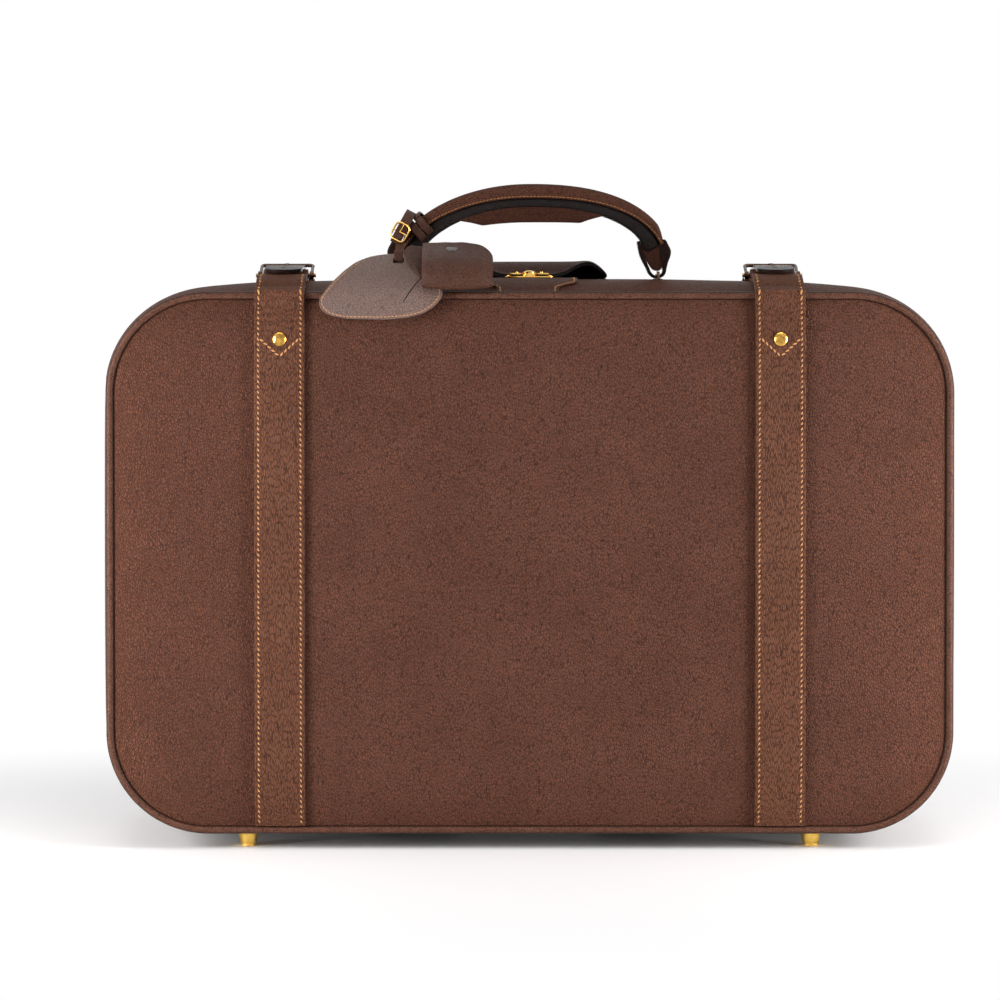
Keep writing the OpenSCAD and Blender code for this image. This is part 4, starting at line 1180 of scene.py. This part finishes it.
tail_hole, tail_hole_size = (tag_length - 7.6, tail_x - tag_x), (6.2, 7.6)
for leaf in (tag_leather_front, tag_leather_back):
    cut_out(leaf, *tail_hole, size=tail_hole_size)
slit_length, slit_wide, slit_slant = 27, 0.7, -32
slit = flat_leather("slit", slit_length, slit_wide, row=3, columns=2)
modify(slit, "SOLIDIFY", thickness=6 * MM, offset=0)
slit_turn = turned(slit_slant, "Y")
slit.data.transform(moved(12, 1.5, 16) @ slit_turn)
modify(tag_leather_front, "BOOLEAN", object=slit, operation="DIFFERENCE", solver="EXACT")
bpy.data.objects.remove(slit)
rim = left_side[1:] + foot_line + right_side[:0:-1]
rim_line = [towards(point, tag_middle, 1.9) for point in rim]
tag_thread = stitch_row("tag_thread", rim_line, tag_thick - 0.05, size=(2.2, 0.7, 0.6), slant=-10)
bend([tag_leather_front, tag_leather_back, tag_thread], tag_route, over_case(tag_x))
settle(tag_leather_front, tag_leather, "case_leather", "tag_front", angle=45)
settle(tag_leather_back, key_leather, "case_leather", "tag_back", angle=45)
finish_thread(tag_thread, "tag_front", "case_leather")

# %% [markdown]
# ## The key case
# One piece of leather is folded round the keys and leans on the tag. Its front stands up and then
# leans back, so it catches a line of light where it turns. The tab beside it is a second cut piece.

# %% Key case
key_lean = 40
key_place = moved(-76, -92.1, case_top - 4.1)
key_place = key_place @ turned(key_lean, "X")
key_middle = [(44, -2.2), (30, -2.2), (16, -2.2), (1.3, -2.3), (-1.0, -1.3), (-1.5, 0.8), (-0.4, 4),
              (2.8, 7.8), (7.6, 10.7), (13, 11.9), (20, 10.9), (26, 9.2), (32, 7), (38, 4.6), (44, 2.2)]
key_half, key_thick = 25, 1.8
key_corner, corner_stretch = 24, 1.1
key_length = route_length(key_middle)
key_leather_piece = flat_leather("key_case_leather_fold", key_length, 2 * key_half, row=1.3, columns=26)
form(key_leather_piece, crowd_edges(key_half))


def key_corners(x, y, z):
    """Rounds the corners at the right of both leaves."""
    out = max(0, z - (key_half - key_corner))
    cut = corner_stretch * (key_corner - math.sqrt(max(key_corner ** 2 - out ** 2, 0)))
    half = key_length / 2
    return (half + (x - half) * (half - cut) / half, y, z)


form(key_leather_piece, key_corners)
thicken(key_leather_piece, key_thick, rim=0.5)
key_leather_piece.data.transform(moved(0, -key_thick / 2, 0))
bend([key_leather_piece], key_middle, over_case(key_half))


corners_raised, raised_over, corners_sunk, ripple_high = 3.2, 22, 0.30, 0.35


def key_softness(x, y, z):
    """The keys push the front leaf out in the middle, and its lower corners are drawn up."""
    across = abs(x - key_half) / key_half
    raised = corners_raised * across ** 2.5 * max(1 - y / raised_over, 0)
    if z < 0:
        return (x, y + raised, z)
    sink = 1 - corners_sunk * across ** 3
    ripple = ripple_high * math.sin(x * 0.5) * min(z / 8, 1)
    return (x, y + raised, z * sink + ripple)


form(key_leather_piece, key_softness)
key_leather_piece.data.transform(key_place)
settle(key_leather_piece, key_leather, "case_leather", "key_case", angle=50)
tab_outline = [(44, 1), (44.2, -4), (43.2, -9), (39, -12.2), (34, -12.6), (28, -9.5), (20, -4.5),
               (13, 0.5), (20, 2), (30, 2), (39, 2)]
tab = cut_leather("key_case_tab_leather", tab_outline, (33, -4))
thicken(tab, key_thick, rim=0.5)
tab.data.transform(moved(0, -3.1, 0))
form(tab, lambda x, y, z: (x, y + 2.2 * min(max(-z / 9, 0), 1), z))
tab.data.transform(key_place @ FROM_THE_SIDE)
settle(tab, key_leather, "case_leather", "key_case", angle=45)

# %% [markdown]
# ## The flap and the lock's patch
# The flap's solid has its bow and its curled wings already, in coarse facets. A merged copy is
# creased along its rim and subdivided. The patch under the lock is a flat piece with rows of
# stitches that flare out at the back.

# %% Flap
# The cut edge is painted. Its faces are known by how squarely they face the front or a side
rim_faces_front, rim_faces_side = -0.75, 0.85
for node, material, slot in (("flap_leather", flap_top, "case_leather"),
                             ("flap_lining", flap_backing, "flap_backing")):
    leaf = copy_of(node, node + "_sheet")
    choose(leaf, "EDGE", lambda a, b: False)
    bpy.ops.mesh.edges_select_sharp(sharpness=radians(50))
    bpy.ops.transform.edge_crease(value=0.7)
    close_edit()
    modify(leaf, "SUBSURF", levels=2, render_levels=2)
    settle(leaf, material, slot, node, angle=60)
    leaf.data.materials.append(edge_paint)
    for face in leaf.data.polygons:
        on_rim = face.normal.y < rim_faces_front or abs(face.normal.x) > rim_faces_side
        face.material_index = 1 if on_rim else 0

# %% Patch
patch_lift, patch_front_half = 0.15, 22
flare_from, flare_over, flare_wide = 11, 20, 14


def patch_half(x):
    """Half the patch's width at a distance back from its front edge."""
    t = min(max((x - flare_from) / flare_over, 0), 1)
    return patch_front_half + flare_wide * t * t * (3 - 2 * t)


def bare_top_at(y):
    """Height of the top in front of its flat middle, where no strap presses it."""
    return case_top - edge_fall * ((flat_from - y) / (flat_from + edge_y)) ** top_power


patch_route = [(-77.3, 392.6)]
patch_route += [(y, bare_top_at(y) + patch_lift) for y in (-72, -66, -60, -52, -44, -36, -28, -20)]
patch_route += [(-3.6, case_top + patch_lift)]
patch_length = route_length(patch_route)
patch = flat_leather("lock_patch_leather", patch_length, 2, row=2, columns=20)
form(patch, lambda x, y, z: (x, y, z * patch_half(x)))
thicken(patch, 1.1, rim=0.4)
patch_line = [2, 8, 13, 17, 21, 25, 29, 34, 44, 54, 66]
patch_thread = join("lock_patch_thread", [
    stitch_row("row", [(x, side * (patch_half(x) - 2.6)) for x in patch_line], 1.0, size=(2.8, 1.0, 0.8))
    for side in (-1, 1)])
bend([patch, patch_thread], patch_route, over_case(-1.5))
settle(patch, edge_leather, "case_leather", "lock_patch", angle=45)
finish_thread(patch_thread, "lock_patch", "case_leather")

# %% [markdown]
# ## Piping
# The cord under the leather shows as a soft tube. Its solid has the true path, so a merged copy is
# only smoothed. Its leather drifts in tone over short lengths, as leather drawn round a cord does.

# %% Piping
for word in ("front", "rear"):
    node = word + "_piping"
    settle(copy_of(node, node + "_leather"), piping_leather, "case_leather", node, angle=50)

# %% [markdown]
# ## Metal, linings and the rest
# Turned, cast and stamped parts have their true shape already. A merged copy of each gets smooth
# round surfaces, and the flat plates also get a fine bevel, because a real edge always catches a
# little light. The lock plate's arms are drawn in, and the snap is made a little larger.

# %% Metal parts
lock_x = middle_of("lock_plate").x
collar_reach, arm_drawn = 9, 2.6
snap_middle = middle_of("key_case_snap")
snap_growth, snap_shift = 1.2, Vector((0.9, -1.35, -1.6))


def shorter_arms(x, y, z):
    """Draws both arms of the lock plate in towards its collar."""
    drawn = min(max(abs(x - lock_x) - collar_reach, 0) * 2, arm_drawn)
    return (x - math.copysign(drawn, x - lock_x), y, z)


def larger_snap(x, y, z):
    return (Vector((x, y, z)) - snap_middle) * snap_growth + snap_middle + snap_shift


reshaped = {"lock_plate": shorter_arms, "key_case_snap": larger_snap}
metal_parts = {
    "front_feet": (foot_brass, 0.3), "rear_feet": (foot_brass, 0.3),
    "lock_plate": (brass, 0.15), "lock_button": (brass, 0),
    "handle_staples": (dark_bronze, 0), "flap_plate": (brass, 0.15), "flap_rivets": (brass, 0.2),
    "buckle_frame_left": (dark_bronze, 0), "buckle_frame_right": (dark_bronze, 0),
    "front_rim_frame": (brass, 0.3), "rear_rim_frame": (brass, 0.3),
    "front_hinge_leaves": (brass, 0.15), "rear_hinge_leaves": (brass, 0.15),
    "hinge_pins": (steel, 0), "lock_case": (steel, 0.3), "lock_spring": (steel, 0),
    "front_foot_screws": (steel, 0.2), "rear_foot_screws": (steel, 0.2), "keys": (steel, 0.2),
    "key_case_snap": (dark_steel, 0.3),
}
for node, (material, rounding) in metal_parts.items():
    part = copy_of(node, node + "_metal")
    if node in reshaped:
        form(part, reshaped[node])
    if rounding:
        modify(part, "BEVEL", width=rounding * MM, segments=2, limit_method="ANGLE",
               angle_limit=radians(45))
    settle(part, material, "steel" if material in (steel, dark_steel) else "brass", node, angle=40)

# %% Bars, tongues and studs
bar_radius, bar_half, knob_share = 1.35, 21.8, 0.3
tongue_rise = 0.25


def slim_bar(x, y, z):
    """Draws the knobs in towards the bar's axis, and their ends in towards the strap."""
    away = math.hypot(y - bar_y, z - bar_z)
    drawn = 1 if away <= bar_radius else (bar_radius + (away - bar_radius) * knob_share) / away
    middle = math.copysign(strap_x, x)
    x = min(max(x, middle - bar_half), middle + bar_half)
    return (x, bar_y + (y - bar_y) * drawn, bar_z + (z - bar_z) * drawn)


bars = copy_of("buckle_bars", "buckle_bars_metal")
form(bars, slim_bar)
settle(bars, bar_brass, "brass", "buckle_bars", angle=50)
frame_top = box_of("buckle_frame_right")[1].z
for side in ("left", "right"):
    tongue = copy_of("buckle_prong_" + side, "buckle_tongue_" + side)
    form(tongue, lambda x, y, z: (x, y, min(z, frame_top + tongue_rise)))
    settle(tongue, dark_bronze, "brass", "buckle_prong_" + side, angle=50)

bpy.ops.object.select_all(action="DESELECT")
stud_radius, stud_deep, stud_foot = 5.4, 3.0, 0.9
bpy.ops.mesh.primitive_uv_sphere_add(segments=32, ring_count=20, radius=stud_radius * MM,
                                     rotation=(radians(90), 0, 0))
stud = bpy.context.active_object
bpy.ops.object.transform_apply(rotation=True)
choose(stud, "VERT", lambda place: place.y > stud_foot * MM)
bpy.ops.mesh.delete(type="VERT")
close_edit()
choose(stud, "EDGE", lambda a, b: min(a.y, b.y) > 0.5 * MM and abs(a.y - b.y) < 0.01 * MM)
bpy.ops.mesh.extrude_edges_move()
bpy.ops.transform.resize(value=(1.1, 1, 1.1))
bpy.ops.mesh.extrude_edges_move(TRANSFORM_OT_translate={"value": (0, 0.6 * MM, 0)})
bpy.ops.mesh.edge_face_add()
close_edit()
stud_y, stud_z = box_of("strap_studs")[0].y + stud_deep, middle_of("strap_studs").z
stud.data.transform(moved(strap_x, stud_y, stud_z) @ Matrix.Diagonal((1, stud_deep / stud_radius, 1, 1)))
smooth(stud, 40)
studs = join("strap_studs_metal", [stud, mirrored(stud, "stud_left")])
settle(studs, stud_brass, "brass", "strap_studs")

# %% Linings
for word in ("front", "rear"):
    node = word + "_lining"
    tray = copy_of(node, node + "_cloth")
    modify(tray, "BEVEL", width=0.4 * MM, segments=2, limit_method="ANGLE", angle_limit=radians(45))
    settle(tray, lining_cloth, "lining_cloth", node, angle=40)
print("stitches in all:", stitch_count)
